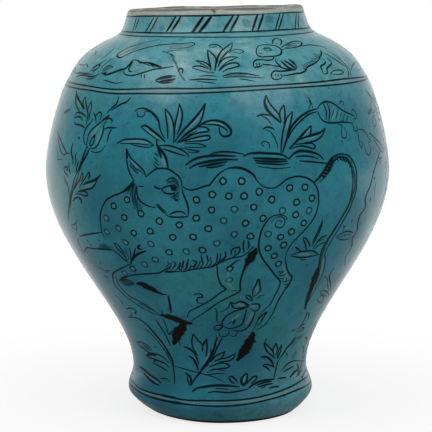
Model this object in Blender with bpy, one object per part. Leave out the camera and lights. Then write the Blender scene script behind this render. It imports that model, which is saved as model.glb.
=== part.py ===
"""Baluster vase of fritware, painted in black under a turquoise glaze.

The pot is thrown in four sections that are luted together with slip at the waist, the belly and
the neck. A glaze coats the outside from the foot to the lip, and a liner glaze makes the inside
watertight. Metres, +Z up. The origin is the centre of the face that the foot stands on.
"""

import math
from typing import NamedTuple

import bmesh
import bpy
from mathutils import Vector
from mathutils.geometry import interpolate_bezier


class Node(NamedTuple):
    """A node of the outside profile, in millimetres."""

    radius: float
    height: float
    slope: float  # radius lost for each unit of rise
    under: float  # reach of the curve below the node
    over: float  # reach of the curve above the node


MM = 0.001

# Driving dimensions: the nodes of the outside, from the standing edge up to the lip
REST = Node(53.0, 0.0, slope=-1.25, under=0.0, over=6.4)
BEAD = Node(64.6, 14.5, slope=0.0, under=4.0, over=6.0)
WAIST = Node(60.6, 31.0, slope=0.0, under=6.0, over=38.0)
BELLY = Node(118.5, 168.0, slope=0.0, under=52.0, over=14.0)
SHOULDER = Node(103.7, 230.0, slope=0.46, under=21.0, over=15.0)
CROWN = Node(75.5, 258.3, slope=2.1, under=15.0, over=4.5)
NECK = Node(64.2, 266.0, slope=0.45, under=4.5, over=4.0)
LIP = Node(59.8, 280.0, slope=0.28, under=5.0, over=0.0)

# Thicknesses, in millimetres
WALL_AT_WAIST = 10.0
WALL_AT_LIP = 6.6
GLAZE = 0.6
LINER = 0.5
SLIP = 1.0
GAP = 0.3

# Foot and floor, in millimetres
RECESS_RADIUS = 42.0
RECESS_TAPER = 2.0
RECESS_DEPTH = 12.0
SEAT_RADIUS = 50.0
FLOOR_HEIGHT = 26.0
FLOOR_RADIUS = 30.0
FLOOR_TURN = 18.0

# Edges of the glaze, lip and joints, in millimetres and degrees
GLAZE_FOOT = 4.5
LIP_BAND = 3.6
LINER_BELOW_LIP = 6.0
LIP_ROUND = 2.4
LIP_LEAN = 15.0
TONGUE = 2.5

# Facets: around the pot, along a stretch, and in the small turns
SEGMENTS = 36
FACET = 17.0
FOOT_STEPS = 4
NECK_STEPS = 3
LIP_STEPS = 2
FLOOR_STEPS = 4
ARC_STEPS = 3
TURN_FACETS = 2
CREASE = 40.0
WELD = 0.01

# Distances that follow from those above
CLAY_FACE = GLAZE + GAP
CLAY_BACK = LINER + GAP
JOINT_CLEAR = SLIP / 2 + GAP


def point(radius, height):
    """A point of a turned profile, in the plane that is spun about Z."""
    return Vector((radius, 0.0, height))


def leaning(slope):
    """Unit direction of a wall that rises and closes in by the slope."""
    return point(-slope, 1.0).normalized()


def span(low, high, steps=None):
    """The Bezier stretch between two nodes, in facets of about FACET if no count is given."""
    start = point(low.radius, low.height)
    end = point(high.radius, high.height)
    steps = steps or round((end - start).length / FACET)
    start_handle = start + leaning(low.slope) * low.over
    end_handle = end - leaning(high.slope) * high.under
    return interpolate_bezier(start, start_handle, end_handle, end, steps + 1)


def joined(*stretches):
    """One line out of stretches that start where the last one ended."""
    line = list(stretches[0])
    for stretch in stretches[1:]:
        line += stretch[1:]
    return line


def arc(centre, radius, start, end):
    """Points on a circle of the profile's plane, with angles in degrees from +X towards +Z."""
    angles = [math.radians(start + (end - start) * i / ARC_STEPS) for i in range(ARC_STEPS + 1)]
    return [centre + point(math.cos(a), math.sin(a)) * radius for a in angles]


def normals(line):
    """Unit directions to the right of a line that runs upward, which is out of the wall."""
    before = [line[0]] + line[:-1]
    after = line[1:] + [line[-1]]
    along = [(b - a).normalized() for a, b in zip(before, after)]
    return [point(t.z, -t.x) for t in along]


def wall_at(height):
    """Thickness of the wall, which thins from the waist to the lip."""
    share = (height - WAIST.height) / (LIP.height - WAIST.height)
    return WALL_AT_WAIST + (WALL_AT_LIP - WALL_AT_WAIST) * share


def inset(line, depth):
    """The line moved into the wall by a depth, a number or a function of the height."""
    moved = []
    for p, n in zip(line, normals(line)):
        moved.append(p - n * (depth(p.z) if callable(depth) else depth))
    return moved


def between(line, low, high):
    """The stretch of a rising line between two heights, with its ends cut to them."""
    def at(height):
        for a, b in zip(line, line[1:]):
            if a.z <= height <= b.z:
                return a.lerp(b, (height - a.z) / (b.z - a.z))
        raise ValueError(f"the line doesn't reach {height} mm")

    return [at(low)] + [p for p in line if low < p.z < high] + [at(high)]


# The visible outside, as the stretches of the four thrown sections and as one line
OUTSIDE = {
    "foot": joined(span(REST, BEAD, FOOT_STEPS), span(BEAD, WAIST, FOOT_STEPS)),
    "lower": span(WAIST, BELLY),
    "upper": joined(span(BELLY, SHOULDER), span(SHOULDER, CROWN)),
    "collar": joined(span(CROWN, NECK, NECK_STEPS), span(NECK, LIP, LIP_STEPS)),
}
WHOLE = joined(*OUTSIDE.values())


def wall_inside(less):
    """The inside of the wall above the floor, less millimetres behind it."""
    line = inset(WHOLE, lambda height: wall_at(height) - less)
    waist = len(OUTSIDE["foot"]) - 1
    return line[waist + TURN_FACETS:]


def floor_line(less):
    """The inside of the floor from its centre to the foot of the wall, less millimetres below it."""
    edge = point(FLOOR_RADIUS, FLOOR_HEIGHT - less)
    wall_foot, wall_next = wall_inside(less)[:2]
    rise = (wall_next - wall_foot).normalized()
    edge_handle = edge + point(FLOOR_TURN, 0.0)
    wall_handle = wall_foot - rise * FLOOR_TURN
    turn = interpolate_bezier(edge, edge_handle, wall_handle, wall_foot, FLOOR_STEPS + 1)
    return [point(0.0, FLOOR_HEIGHT - less)] + turn


def joint_between(lower, upper):
    """The place where two stretches meet, and the direction of the wall there."""
    return upper[0], (upper[1] - lower[-2]).normalized()


BELLY_JOINT = joint_between(OUTSIDE["lower"], OUTSIDE["upper"])
NECK_JOINT = joint_between(OUTSIDE["upper"], OUTSIDE["collar"])


def joint(place, along, offset):
    """Tongue across the wall at a luted joint: its outer edge, ridge and inner edge."""
    out = point(along.z, -along.x)
    seat = place + along * offset
    face = seat - out * CLAY_FACE
    back = seat - out * (wall_at(place.z) - CLAY_BACK)
    return [face, (face + back) / 2 + along * TONGUE, back]


def clay_lines(name):
    """Outer and inner clay faces of a section, without the points at its joints."""
    names = list(OUTSIDE)
    first = sum(len(OUTSIDE[below]) - 1 for below in names[:names.index(name)])
    last = first + len(OUTSIDE[name]) - 1
    face = inset(WHOLE, CLAY_FACE)
    back = inset(WHOLE, lambda height: wall_at(height) - CLAY_BACK)
    return face[first + 1:last], back[first + 1:last]


def foot_ring():
    """Flared foot with a beaded edge, a recess beneath it and a rebate for the body's base."""
    shelf = WAIST.height - JOINT_CLEAR
    bare_edge = between(OUTSIDE["foot"], 0.0, GLAZE_FOOT)
    glazed = between(inset(OUTSIDE["foot"], CLAY_FACE), GLAZE_FOOT + GAP, shelf)
    return [
        *bare_edge,
        *glazed,
        point(SEAT_RADIUS, shelf),
        point(SEAT_RADIUS, RECESS_DEPTH),
        point(RECESS_RADIUS, RECESS_DEPTH),
        point(RECESS_RADIUS + RECESS_TAPER, 0.0),
    ]


def foot_slip():
    """Slip in the rebate between the foot and the base of the body."""
    top = WAIST.height - JOINT_CLEAR + GAP
    outer = WAIST.radius - CLAY_FACE
    bore = SEAT_RADIUS - GAP
    ledge = RECESS_DEPTH + GAP
    return [
        point(RECESS_RADIUS, ledge),
        point(bore, ledge),
        point(bore, top),
        point(outer, top),
        point(outer, top + SLIP),
        point(bore - SLIP, top + SLIP),
        point(bore - SLIP, ledge + SLIP),
        point(RECESS_RADIUS, ledge + SLIP),
    ]


def lower_body():
    """Thrown lower half: a base that plugs into the foot, the floor, and the wall to the belly."""
    base = RECESS_DEPTH + SLIP + 2 * GAP
    plug = SEAT_RADIUS - SLIP - 2 * GAP
    shelf = WAIST.height + JOINT_CLEAR
    face, back = clay_lines("lower")
    floor = floor_line(CLAY_BACK)
    wall_back = [p for p in back if p.z > floor[-1].z]
    return [
        point(0.0, base),
        point(plug, base),
        point(plug, shelf),
        point(WAIST.radius - CLAY_FACE, shelf),
        *face,
        *joint(*BELLY_JOINT, -JOINT_CLEAR),
        *reversed(wall_back),
        *reversed(floor),
    ]


def upper_body():
    """Thrown upper half: the belly, the shoulder and the hole for the neck."""
    face, back = clay_lines("upper")
    groove_face, groove_ridge, groove_back = joint(*BELLY_JOINT, JOINT_CLEAR)
    tongue = joint(*NECK_JOINT, -JOINT_CLEAR)
    return [groove_face, *face, *tongue, *reversed(back), groove_back, groove_ridge]


def neck_collar():
    """Thrown neck with a skirt that sits on the shoulder and a rounded lip that the glaze leaves pale."""
    face, back = clay_lines("collar")
    groove_face, groove_ridge, groove_back = joint(*NECK_JOINT, JOINT_CLEAR)
    band = LIP.height - LIP_BAND
    liner_top = LIP.height - LINER_BELOW_LIP
    round_height = LIP.height - LIP_ROUND
    outer = between(WHOLE, band, round_height)
    inner = between(inset(WHOLE, wall_at), liner_top, round_height)
    outer_centre = outer[-1] - point(LIP_ROUND, 0.0)
    inner_centre = inner[-1] + point(LIP_ROUND, 0.0)
    return [
        groove_face,
        *[p for p in face if p.z < band - GAP],
        point(outer[0].x - CLAY_FACE, band),
        outer[0],
        *arc(outer_centre, LIP_ROUND, LIP_LEAN, 90.0),
        *arc(inner_centre, LIP_ROUND, 90.0, 180.0 - LIP_LEAN),
        inner[0],
        point(inner[0].x + CLAY_BACK, liner_top),
        *[p for p in reversed(back) if p.z < liner_top - GAP],
        groove_back,
        groove_ridge,
    ]


def slip_between(joint_place):
    """Slip that fills a tongued joint between two thrown sections."""
    under = joint(*joint_place, -SLIP / 2)
    over = joint(*joint_place, SLIP / 2)
    return under + list(reversed(over))


def outer_glaze():
    """Turquoise coat on the outside, from just above the standing edge to the line under the lip."""
    top = LIP.height - LIP_BAND - GAP
    outer = between(WHOLE, GLAZE_FOOT + GAP, top)
    inner = between(inset(WHOLE, GLAZE), GLAZE_FOOT + GAP, top)
    return outer + list(reversed(inner))


def inner_glaze():
    """Liner coat on the floor and the inside of the wall, up to just below the lip."""
    top = LIP.height - LINER_BELOW_LIP - GAP
    rise = wall_inside(0.0)
    behind = wall_inside(LINER)
    visible = joined(floor_line(0.0), between(rise, rise[0].z, top))
    backing = joined(floor_line(LINER), between(behind, behind[0].z, top))
    return backing + list(reversed(visible))


def linear(hex_colour):
    """Linear channels of an sRGB colour."""
    channels = [int(hex_colour[i:i + 2], 16) / 255 for i in (0, 2, 4)]
    return [c / 12.92 if c <= 0.04045 else ((c + 0.055) / 1.055) ** 2.4 for c in channels]


def fired(name, hex_colour, roughness, coat=0.0):
    """Principled material of a fired surface."""
    material = bpy.data.materials.new(name)
    material.use_nodes = True
    colour = (*linear(hex_colour), 1.0)
    shader = material.node_tree.nodes["Principled BSDF"]
    shader.inputs["Base Color"].default_value = colour
    shader.inputs["Roughness"].default_value = roughness
    shader.inputs["Metallic"].default_value = 0.0
    shader.inputs["Coat Weight"].default_value = coat
    material.diffuse_color = colour
    return material


def turned(name, outline, material):
    """A turned piece: the outline spun about Z, closed on the axis where it ends there."""
    shape = bmesh.new()
    corners = [shape.verts.new(p * MM) for p in outline]
    edges = [shape.edges.new(pair) for pair in zip(corners, corners[1:])]
    if outline[0].x > 0.0:
        edges.append(shape.edges.new((corners[-1], corners[0])))
    bmesh.ops.spin(
        shape,
        geom=corners + edges,
        axis=(0.0, 0.0, 1.0),
        cent=(0.0, 0.0, 0.0),
        angle=math.tau,
        steps=SEGMENTS,
        use_merge=True,
    )
    bmesh.ops.remove_doubles(shape, verts=shape.verts, dist=WELD * MM)
    bmesh.ops.recalc_face_normals(shape, faces=shape.faces)
    mesh = bpy.data.meshes.new(name)
    shape.to_mesh(mesh)
    shape.free()
    mesh.shade_smooth()
    mesh.set_sharp_from_angle(angle=math.radians(CREASE))
    mesh.materials.append(material)
    piece = bpy.data.objects.new(name, mesh)
    bpy.context.scene.collection.objects.link(piece)


def main():
    for old in list(bpy.data.objects):
        bpy.data.objects.remove(old, do_unlink=True)
    clay = fired("buff fritware", "c9b692", roughness=0.75)
    slip = fired("luting slip", "d8cbb0", roughness=0.85)
    thin_glaze = fired("thin worn glaze", "9dab9f", roughness=0.35, coat=0.4)
    turquoise = fired("turquoise alkaline glaze", "33808c", roughness=0.25, coat=1.0)
    liner = fired("grey liner glaze", "8f9b8e", roughness=0.35, coat=0.6)
    turned("foot_ring", foot_ring(), clay)
    turned("foot_luting_slip", foot_slip(), slip)
    turned("lower_body", lower_body(), clay)
    turned("belly_luting_slip", slip_between(BELLY_JOINT), slip)
    turned("upper_body", upper_body(), clay)
    turned("neck_luting_slip", slip_between(NECK_JOINT), slip)
    turned("neck_collar", neck_collar(), thin_glaze)
    turned("outer_glaze", outer_glaze(), turquoise)
    turned("inner_glaze", inner_glaze(), liner)


main()
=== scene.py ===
"""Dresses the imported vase: hand-thrown walls, glaze coats, painted ornament and a plain studio stage."""

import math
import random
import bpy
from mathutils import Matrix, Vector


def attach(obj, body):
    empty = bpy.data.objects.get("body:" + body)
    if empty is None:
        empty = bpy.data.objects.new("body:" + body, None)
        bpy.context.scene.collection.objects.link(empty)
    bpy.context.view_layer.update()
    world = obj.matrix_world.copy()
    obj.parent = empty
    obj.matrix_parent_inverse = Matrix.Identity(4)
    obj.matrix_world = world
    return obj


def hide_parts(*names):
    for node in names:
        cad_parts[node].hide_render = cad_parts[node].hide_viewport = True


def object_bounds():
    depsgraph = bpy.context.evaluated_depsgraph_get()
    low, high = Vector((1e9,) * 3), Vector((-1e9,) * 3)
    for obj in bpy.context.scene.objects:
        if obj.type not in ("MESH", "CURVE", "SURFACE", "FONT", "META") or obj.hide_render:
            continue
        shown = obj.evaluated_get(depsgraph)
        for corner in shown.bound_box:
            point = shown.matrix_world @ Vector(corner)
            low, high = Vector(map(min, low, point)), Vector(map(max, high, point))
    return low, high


bl_info = {
    "name": "Painted Baluster Vase",
    "version": (1, 0, 0),
    "blender": (4, 5, 0),
    "location": "View3D > Sidebar > Vase",
    "description": "Turns, glazes and paints a hand-thrown vase on its packed frame",
    "category": "Object",
}

from typing import NamedTuple

import bmesh
import bpy
import numpy as np
from bpy.props import FloatProperty, FloatVectorProperty, IntProperty, PointerProperty
from mathutils import Vector, noise

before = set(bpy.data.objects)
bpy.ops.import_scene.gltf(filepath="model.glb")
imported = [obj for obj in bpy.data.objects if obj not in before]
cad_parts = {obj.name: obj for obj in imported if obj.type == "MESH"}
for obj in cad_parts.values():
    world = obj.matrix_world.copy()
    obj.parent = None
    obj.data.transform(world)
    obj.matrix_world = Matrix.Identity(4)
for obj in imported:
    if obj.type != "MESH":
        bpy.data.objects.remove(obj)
CAD_LOW, CAD_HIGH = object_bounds()
BODY = "root"
MM = 0.001
PHOTO_SIDE = 432
SENSOR_WIDTH = 36.0


def linear(hex_colour):
    """Linear RGB of an sRGB hex colour."""
    channels = [int(hex_colour[i:i + 2], 16) / 255 for i in (0, 2, 4)]
    return [c / 12.92 if c <= 0.04045 else ((c + 0.055) / 1.055) ** 2.4 for c in channels]


def length(name, description, default):
    """A length that a user may change, in metres."""
    return FloatProperty(name=name, description=description, default=default, unit="LENGTH", precision=5)


def colour(name, description, hex_colour):
    """A colour that a user may change."""
    return FloatVectorProperty(
        name=name, description=description, default=linear(hex_colour), subtype="COLOR", min=0, max=1
    )


class VaseForm(bpy.types.PropertyGroup):
    """What the potter's hand leaves on the turned shape."""

    segments: IntProperty(name="Segments", description="Facets around the pot", default=224, min=36)
    facet: length("Facet", "Length of a facet along the outline", 2.4 * MM)
    oval: length("Oval", "How far the girth is out of round", 0.5 * MM)
    ridge: length("Ridge", "Height of the spiral ridges that fingers leave", 0.03 * MM)
    ridge_step: length("Ridge step", "Rise of the spiral in one turn", 7.0 * MM)
    rim_tilt: length("Rim tilt", "How far the right of the rim stands above the axis", 1.5 * MM)
    foot_cut: length("Foot cut", "How far the left of the foot is trimmed off the floor", 2.5 * MM)
    rim_wave: length("Rim wave", "Unevenness of the lip", 0.55 * MM)


class VaseColours(bpy.types.PropertyGroup):
    """Colours of the fired surfaces."""

    turquoise: colour("Turquoise", "Glaze where it is of usual thickness", "2b7c8b")
    # Deep glaze, in specks, and laid on more towards the bottom as painted shade along with pooled glaze
    deep_and_shade: colour("Deep", "Glaze where it has pooled", "1c6071")
    # Laid over the foot as painted shade, along with glaze gathered thick there
    pool: colour("Pool", "Glaze gathered thick over the foot", "124a59")
    green: colour("Green", "Glaze over a greener patch", "2f7a72")
    # Thin glaze, laid on high up as painted light from above along with glaze run thin, and low on the right
    # as painted light
    thin: colour("Thin", "Glaze that has run thin", "5b9aa2")
    bare: colour("Bare", "Glaze worn thin and pale", "a3b9b8")
    ink: colour("Ink", "Black pigment under the glaze", "071c22")
    brown: colour("Brown", "Pigment where it lies thick", "17130f")
    wash: colour("Wash", "Watered pigment", "7b9391")
    lip: colour("Lip", "Pale lip where the glaze ran off", "a7b6ae")
    chip: colour("Chip", "Brown body that shows where the lip is chipped", "6a5743")
    clay: colour("Clay", "Bare fritware", "b9a684")
    # A dark band on the bare edge of the foot, where it meets the floor
    dark_edge: colour("Stain", "Dirt in the bare edge of the foot", "2b1f18")
    slip: colour("Slip", "Fired luting slip", "d3c6ab")
    liner: colour("Liner", "Thin liner glaze", "939d90")


class VaseStage(bpy.types.PropertyGroup):
    """Camera and floor."""

    distance: length("Distance", "Camera to the axis of the pot", 1.25)
    eye_height: length("Eye height", "Camera above the floor", 0.3055)
    aside: length("Aside", "Camera to the right of the axis", -1.4 * MM)
    pitch: FloatProperty(
        name="Pitch", description="Camera looks down by this", default=math.radians(7.78), subtype="ANGLE"
    )
    focal: FloatProperty(name="Focal length", description="In millimetres", default=150.6)
    floor: colour("Floor", "Pale floor", "f4f4f2")


def form():
    """The marks of the hand as they are set."""
    return bpy.context.scene.vase_form


def tint(name):
    """A colour of the finish, with its alpha."""
    return (*getattr(bpy.context.scene.vase_colours, name), 1.0)


# Shape of the pot, read from the frame

TOUCH = 1e-5
DECIMALS = 6
CORNER = math.radians(35)
FULL_TURN = 2 * math.pi
FRONT = -math.pi / 2
LIP_RADIUS = 60 * MM

# Heights, and how far the axis has wandered to the right there, in millimetres
AXIS_SHIFT = ((0.0, 1.9), (20.0, 1.5), (90.0, -0.2), (130.0, -0.7), (190.0, -0.4), (230.0, 0.0),
              (258.0, -1.2), (275.0, -1.9), (280.0, -1.9))

# The marks of the hand fade in over the rise above the floor and out over the fall below the top
GRIP_RISE = 30 * MM
GRIP_TOP = 270 * MM
GRIP_FALL = 20 * MM
OVAL_TURN = 0.8

# Heights from which the shoulder leans and the rim wavers, and up to which the trimmed foot shows
LEAN_FROM = 225 * MM
RIM_FROM = 252 * MM
FOOT_TRIM = 14 * MM

# The rim stands lower than it was turned, in waves of a share, a number round the pot and a start
RIM_DROP = 0.6 * MM
RIM_WAVES = ((0.6, 3, 1.0), (0.4, 7, 0.0))


def outline_of(node):
    """Outline of a turned node in the half plane through +X, anticlockwise, as radius and height."""
    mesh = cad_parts[node].data
    near = {}
    for edge in mesh.edges:
        ends = [mesh.vertices[i].co for i in edge.vertices]
        if all(abs(p.y) < TOUCH and p.x > -TOUCH for p in ends):
            a, b = [(round(max(p.x, 0.0), DECIMALS), round(p.z, DECIMALS)) for p in ends]
            if a != b:
                near.setdefault(a, set()).add(b)
                near.setdefault(b, set()).add(a)
    start = min(near, key=lambda p: (len(near[p]), p))
    line = [start]
    while True:
        onward = [p for p in sorted(near[line[-1]]) if p not in line[-2:] and p != start]
        if not onward or onward[0] in line:
            break
        line.append(onward[0])
    if len(near[start]) == 1:
        line = [(0.0, line[0][1])] + line + [(0.0, line[-1][1])]
    points = np.array(line)
    ahead = np.roll(points, -1, axis=0)
    area = (points[:, 0] * ahead[:, 1] - ahead[:, 0] * points[:, 1]).sum()
    return points if area > 0 else points[::-1]


def smooth_through(points, step, closed=False):
    """A centripetal Catmull-Rom line through points, with a sample about every step."""
    points = np.asarray(points, float)
    count = len(points)
    line = []
    for i in range(count if closed else count - 1):
        p1, p2 = points[i], points[(i + 1) % count]
        p0 = points[i - 1] if closed or i else 2 * p1 - p2
        p3 = points[(i + 2) % count] if closed or i + 2 < count else 2 * p2 - p1
        k0, k1, k2 = [max(np.linalg.norm(b - a), TOUCH) ** 0.5 for a, b in ((p0, p1), (p1, p2), (p2, p3))]
        slope1 = (p1 - p0) / k0 * k1 - (p2 - p0) / (k0 + k1) * k1 + (p2 - p1)
        slope2 = (p2 - p1) - (p3 - p1) / (k1 + k2) * k1 + (p3 - p2) / k2 * k1
        steps = max(1, math.ceil(np.linalg.norm(p2 - p1) / step))
        for t in np.arange(steps) / steps:
            line.append(
                (2 * t**3 - 3 * t**2 + 1) * p1 + (t**3 - 2 * t**2 + t) * slope1
                + (3 * t**2 - 2 * t**3) * p2 + (t**3 - t**2) * slope2
            )
    if not closed:
        line.append(points[-1])
    return np.array(line)


def rounded(outline, step):
    """The outline with its smooth stretches made fine and its corners kept."""
    on_axis = outline[0][0] < TOUCH
    count = len(outline)
    ahead = np.roll(outline, -1, axis=0) - outline
    behind = outline - np.roll(outline, 1, axis=0)
    turn = np.abs(np.angle((ahead[:, 0] + 1j * ahead[:, 1]) / (behind[:, 0] + 1j * behind[:, 1])))
    ends = {0, count - 1} if on_axis else set()
    corners = sorted(ends | set(np.flatnonzero(turn > CORNER).tolist()))
    if not corners:
        return smooth_through(outline, step, closed=True)
    line = []
    wrap = corners if on_axis else corners + [corners[0] + count]
    for first, last in zip(wrap, wrap[1:]):
        stretch = [outline[i % count] for i in range(first, last + 1)]
        line += smooth_through(stretch, step)[:-1].tolist()
    if on_axis:
        line.append(outline[-1].tolist())
    return np.array(line)


def shift_at(height):
    """How far the axis has wandered to the side at a height."""
    stations = np.array(AXIS_SHIFT) * MM
    return np.interp(height, stations[:, 0], stations[:, 1])


def girth_at(radius, angle, height):
    """Radius after the hand has left its ridges and the pot its oval."""
    hand = form()
    grip = np.clip(height / GRIP_RISE, 0, 1) * np.clip((GRIP_TOP - height) / GRIP_FALL, 0, 1)
    oval = hand.oval * np.cos(2 * angle + OVAL_TURN) * radius / CAD_HIGH.x
    ridge = hand.ridge * np.sin(FULL_TURN * height / hand.ridge_step + angle)
    return radius + grip * (oval + ridge)


def lifted(radius, angle, height):
    """How far the trimmed foot, the leaning shoulder and the uneven rim stand above their turned height."""
    hand = form()
    lean = np.clip((height - LEAN_FROM) / (CAD_HIGH.z - LEAN_FROM), 0, 1)
    rim = np.clip((height - RIM_FROM) / (CAD_HIGH.z - RIM_FROM), 0, 1)
    tilt = hand.rim_tilt * np.cos(angle) * radius / LIP_RADIUS
    wave = sum(share * np.sin(count * angle + start) for share, count, start in RIM_WAVES)
    cut = hand.foot_cut * np.clip(-np.cos(angle), 0, 1) ** 2 * np.clip(1 - height / FOOT_TRIM, 0, 1)
    return cut + lean * tilt + rim**2 * (hand.rim_wave * wave - RIM_DROP)


def thrown(radius, angle, height):
    """Points of the hand-thrown pot for points of the turned one."""
    girth = np.where(radius > TOUCH, girth_at(radius, angle, height), 0.0)
    x = girth * np.cos(angle) + shift_at(height)
    return np.stack([x, girth * np.sin(angle), height + lifted(radius, angle, height)], axis=-1)


# The glaze runs out in a thin film, down to the bare edge of the foot and up to the edge of the lip
GAP = 0.3 * MM
BARE_EDGE = 2.2 * MM
LIP_EDGE = 276.1 * MM
FILM_OVER = 0.12 * MM
FILM_UNDER = -0.05 * MM


def film_on(node, low, high):
    """A film on the outer side of a turned node between two heights, as its buried and its outer face."""
    line = outline_of(node)
    line = np.roll(line, -np.argmin(line[:, 1] - line[:, 0] * TOUCH), axis=0)
    radii, heights = line[: np.argmax(line[:, 1]) + 1].T
    levels = [low, *heights[(heights > low) & (heights < high)], high]
    path = np.stack([np.interp(levels, heights, radii), levels], axis=-1)
    along = np.gradient(path, axis=0)
    out = np.stack([along[:, 1], -along[:, 0]], axis=-1) / np.hypot(*along.T)[:, None]
    return path + out * FILM_UNDER, path + out * FILM_OVER


def glaze_line():
    """Outline of the outer glaze, which runs out in a thin film over the foot's edge and on the lip."""
    line = outline_of("outer_glaze")
    top = np.argmax(line[:, 1])
    foot_under, foot_over = film_on("foot_ring", BARE_EDGE, line[0][1] - GAP)
    lip_under, lip_over = film_on("neck_collar", line[top][1] + GAP + TOUCH, LIP_EDGE)
    outer = (line[:1], foot_under[::-1], foot_over, line[1:top + 1], lip_over)
    return rounded(np.concatenate([*outer, lip_under[::-1], line[top + 1:]]), form().facet)


# A normal is taken from neighbours this far away
SMALL_TURN = 0.002
SMALL_RISE = 0.2 * MM

# A line of sight is searched from before the pot to behind its axis, in shares of the belly's radius
SIGHT_NEAR, SIGHT_FAR = -1.05, 0.3
SIGHT_STEPS = 600


class Outside:
    """The outer face of the glaze as a profile, for laying paint on it."""

    def __init__(self):
        line = glaze_line()
        low, high = np.argmin(line[:, 1]), np.argmax(line[:, 1])
        outer = np.roll(line, -low, axis=0)[: (high - low) % len(line) + 1]
        outer = outer[np.concatenate([[True], np.diff(outer[:, 1]) > TOUCH])]
        self.radii, self.heights = outer[:, 0], outer[:, 1]
        run = np.hypot(np.gradient(self.radii), np.gradient(self.heights))
        self.upright = np.gradient(self.heights) / run

    def radius(self, height):
        """Radius of the turned profile at a height."""
        return np.interp(height, self.heights, self.radii)

    def rise(self, height):
        """Height gained for each unit along the profile."""
        return np.interp(height, self.heights, self.upright)

    def point(self, angle, height):
        """Point of the hand-thrown surface."""
        return thrown(self.radius(height), angle, height)

    def normal(self, angle, height):
        """Outward normal of the hand-thrown surface."""
        around = self.point(angle + SMALL_TURN, height) - self.point(angle - SMALL_TURN, height)
        up = self.point(angle, height + SMALL_RISE) - self.point(angle, height - SMALL_RISE)
        out = np.cross(around, up)
        return out / np.linalg.norm(out, axis=-1, keepdims=True)

    def seen_at(self, pixels):
        """Angle and height of the points that the camera sees at pixels of the photograph's frame."""
        camera = bpy.context.scene.camera
        turn = np.array(camera.matrix_world.to_3x3())
        pixels = np.asarray(pixels, float)
        half = PHOTO_SIDE / 2
        spread = camera.data.sensor_width / camera.data.lens / PHOTO_SIDE
        rays = np.stack(
            [(pixels[:, 0] - half) * spread, (half - pixels[:, 1]) * spread, -np.ones(len(pixels))], axis=-1
        ) @ turn.T
        reach = -camera.location.y
        near, far = reach + SIGHT_NEAR * CAD_HIGH.x, reach + SIGHT_FAR * CAD_HIGH.x
        along = np.linspace(near, far, SIGHT_STEPS)
        spots = np.array(camera.location) + rays[:, None] * (along / rays[:, None, 1])[..., None]
        x, y, z = np.moveaxis(spots, -1, 0)
        x = x - shift_at(z)
        angle = np.arctan2(y, x)
        height = z - lifted(self.radius(z), angle, z)
        skin = np.hypot(x, y) - girth_at(self.radius(height), angle, height)
        found = []
        for row, row_angle, row_height in zip(skin, angle, height):
            inside = np.flatnonzero(row < 0)
            best = inside[0] if len(inside) else np.argmin(row)
            found.append((row_angle[best], row_height[best]))
        return np.array(found)


def turned(name, outline):
    """A lathe-turned piece after the potter's hand, with its surface unrolled."""
    count = form().segments
    on_axis = outline[0][0] < TOUCH
    angles = np.arange(count) * (FULL_TURN / count)
    rings = [thrown(np.full(count, r), angles, np.full(count, z)) for r, z in outline]
    verts = np.concatenate(rings)
    faces = []
    rows = len(outline) - 1 if on_axis else len(outline)
    run = np.concatenate([[0], np.cumsum(np.hypot(*np.diff(np.vstack([outline, outline[:1]]), axis=0).T))])
    run = run / run[-1]
    places = []
    for row in range(rows):
        above = (row + 1) % len(outline)
        for i in range(count):
            ahead = (i + 1) % count
            faces.append((row * count + i, row * count + ahead, above * count + ahead, above * count + i))
            left, right = i / count, (i + 1) / count
            low, high = run[row], run[row + 1]
            places += [(left, low), (right, low), (right, high), (left, high)]
    mesh = bpy.data.meshes.new(name)
    mesh.from_pydata(verts.tolist(), [], faces)
    turned_at = mesh.attributes.new("turned", "FLOAT_VECTOR", "POINT")
    turned_at.data.foreach_set("vector", np.repeat(np.insert(outline, 1, 0.0, axis=1), count, axis=0).ravel())
    unrolled = mesh.uv_layers.new(name="OFBake")
    unrolled.data.foreach_set("uv", np.array(places, np.float32).ravel())
    if on_axis:
        shape = bmesh.new()
        shape.from_mesh(mesh)
        bmesh.ops.remove_doubles(shape, verts=shape.verts, dist=TOUCH)
        shape.to_mesh(mesh)
        shape.free()
    mesh.shade_smooth()
    mesh.set_sharp_from_angle(angle=CORNER)
    piece = bpy.data.objects.new(name, mesh)
    bpy.context.scene.collection.objects.link(piece)
    return piece


def settle(piece, material, nodes=()):
    """Gives a piece its material and makes it ride the pot."""
    piece.data.materials.append(material)
    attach(piece, BODY)
    if nodes:
        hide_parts(*nodes)


def turn_anew(name, node, material):
    """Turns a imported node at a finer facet, as a piece that takes its place."""
    settle(turned(name, rounded(outline_of(node), form().facet)), material, [node])


# Materials

def add(tree, kind, inputs=None, **settings):
    """Adds a shader node with its own settings, and with inputs that are values or sockets to link."""
    node = tree.nodes.new("ShaderNode" + kind)
    for name, value in settings.items():
        setattr(node, name, value)
    for name, value in (inputs or {}).items():
        if isinstance(value, bpy.types.NodeSocket):
            tree.links.new(value, node.inputs[name])
        else:
            node.inputs[name].default_value = value
    return node


def blank(name):
    """A material with nothing but its output."""
    material = bpy.data.materials.new(name)
    material.use_nodes = True
    tree = material.node_tree
    tree.nodes.clear()
    return material, tree, add(tree, "OutputMaterial")


def per_metre(millimetres):
    """Scale of a pattern whose cells are that many millimetres wide."""
    return 1 / (millimetres * MM)


class Cloud(NamedTuple):
    """A tone of the glaze: its cells in millimetres, and where and how far their noise shows it."""

    tone: str
    cell: float
    detail: float
    start: float
    full: float
    least: float
    most: float
    where: str = "all"


class Gate(NamedTuple):
    """Where a tone gathers: the way along which it grows, from one distance in millimetres to another."""

    way: tuple
    start: float
    full: float
    most: float = 1.0
    operation: str = "MULTIPLY"


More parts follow.
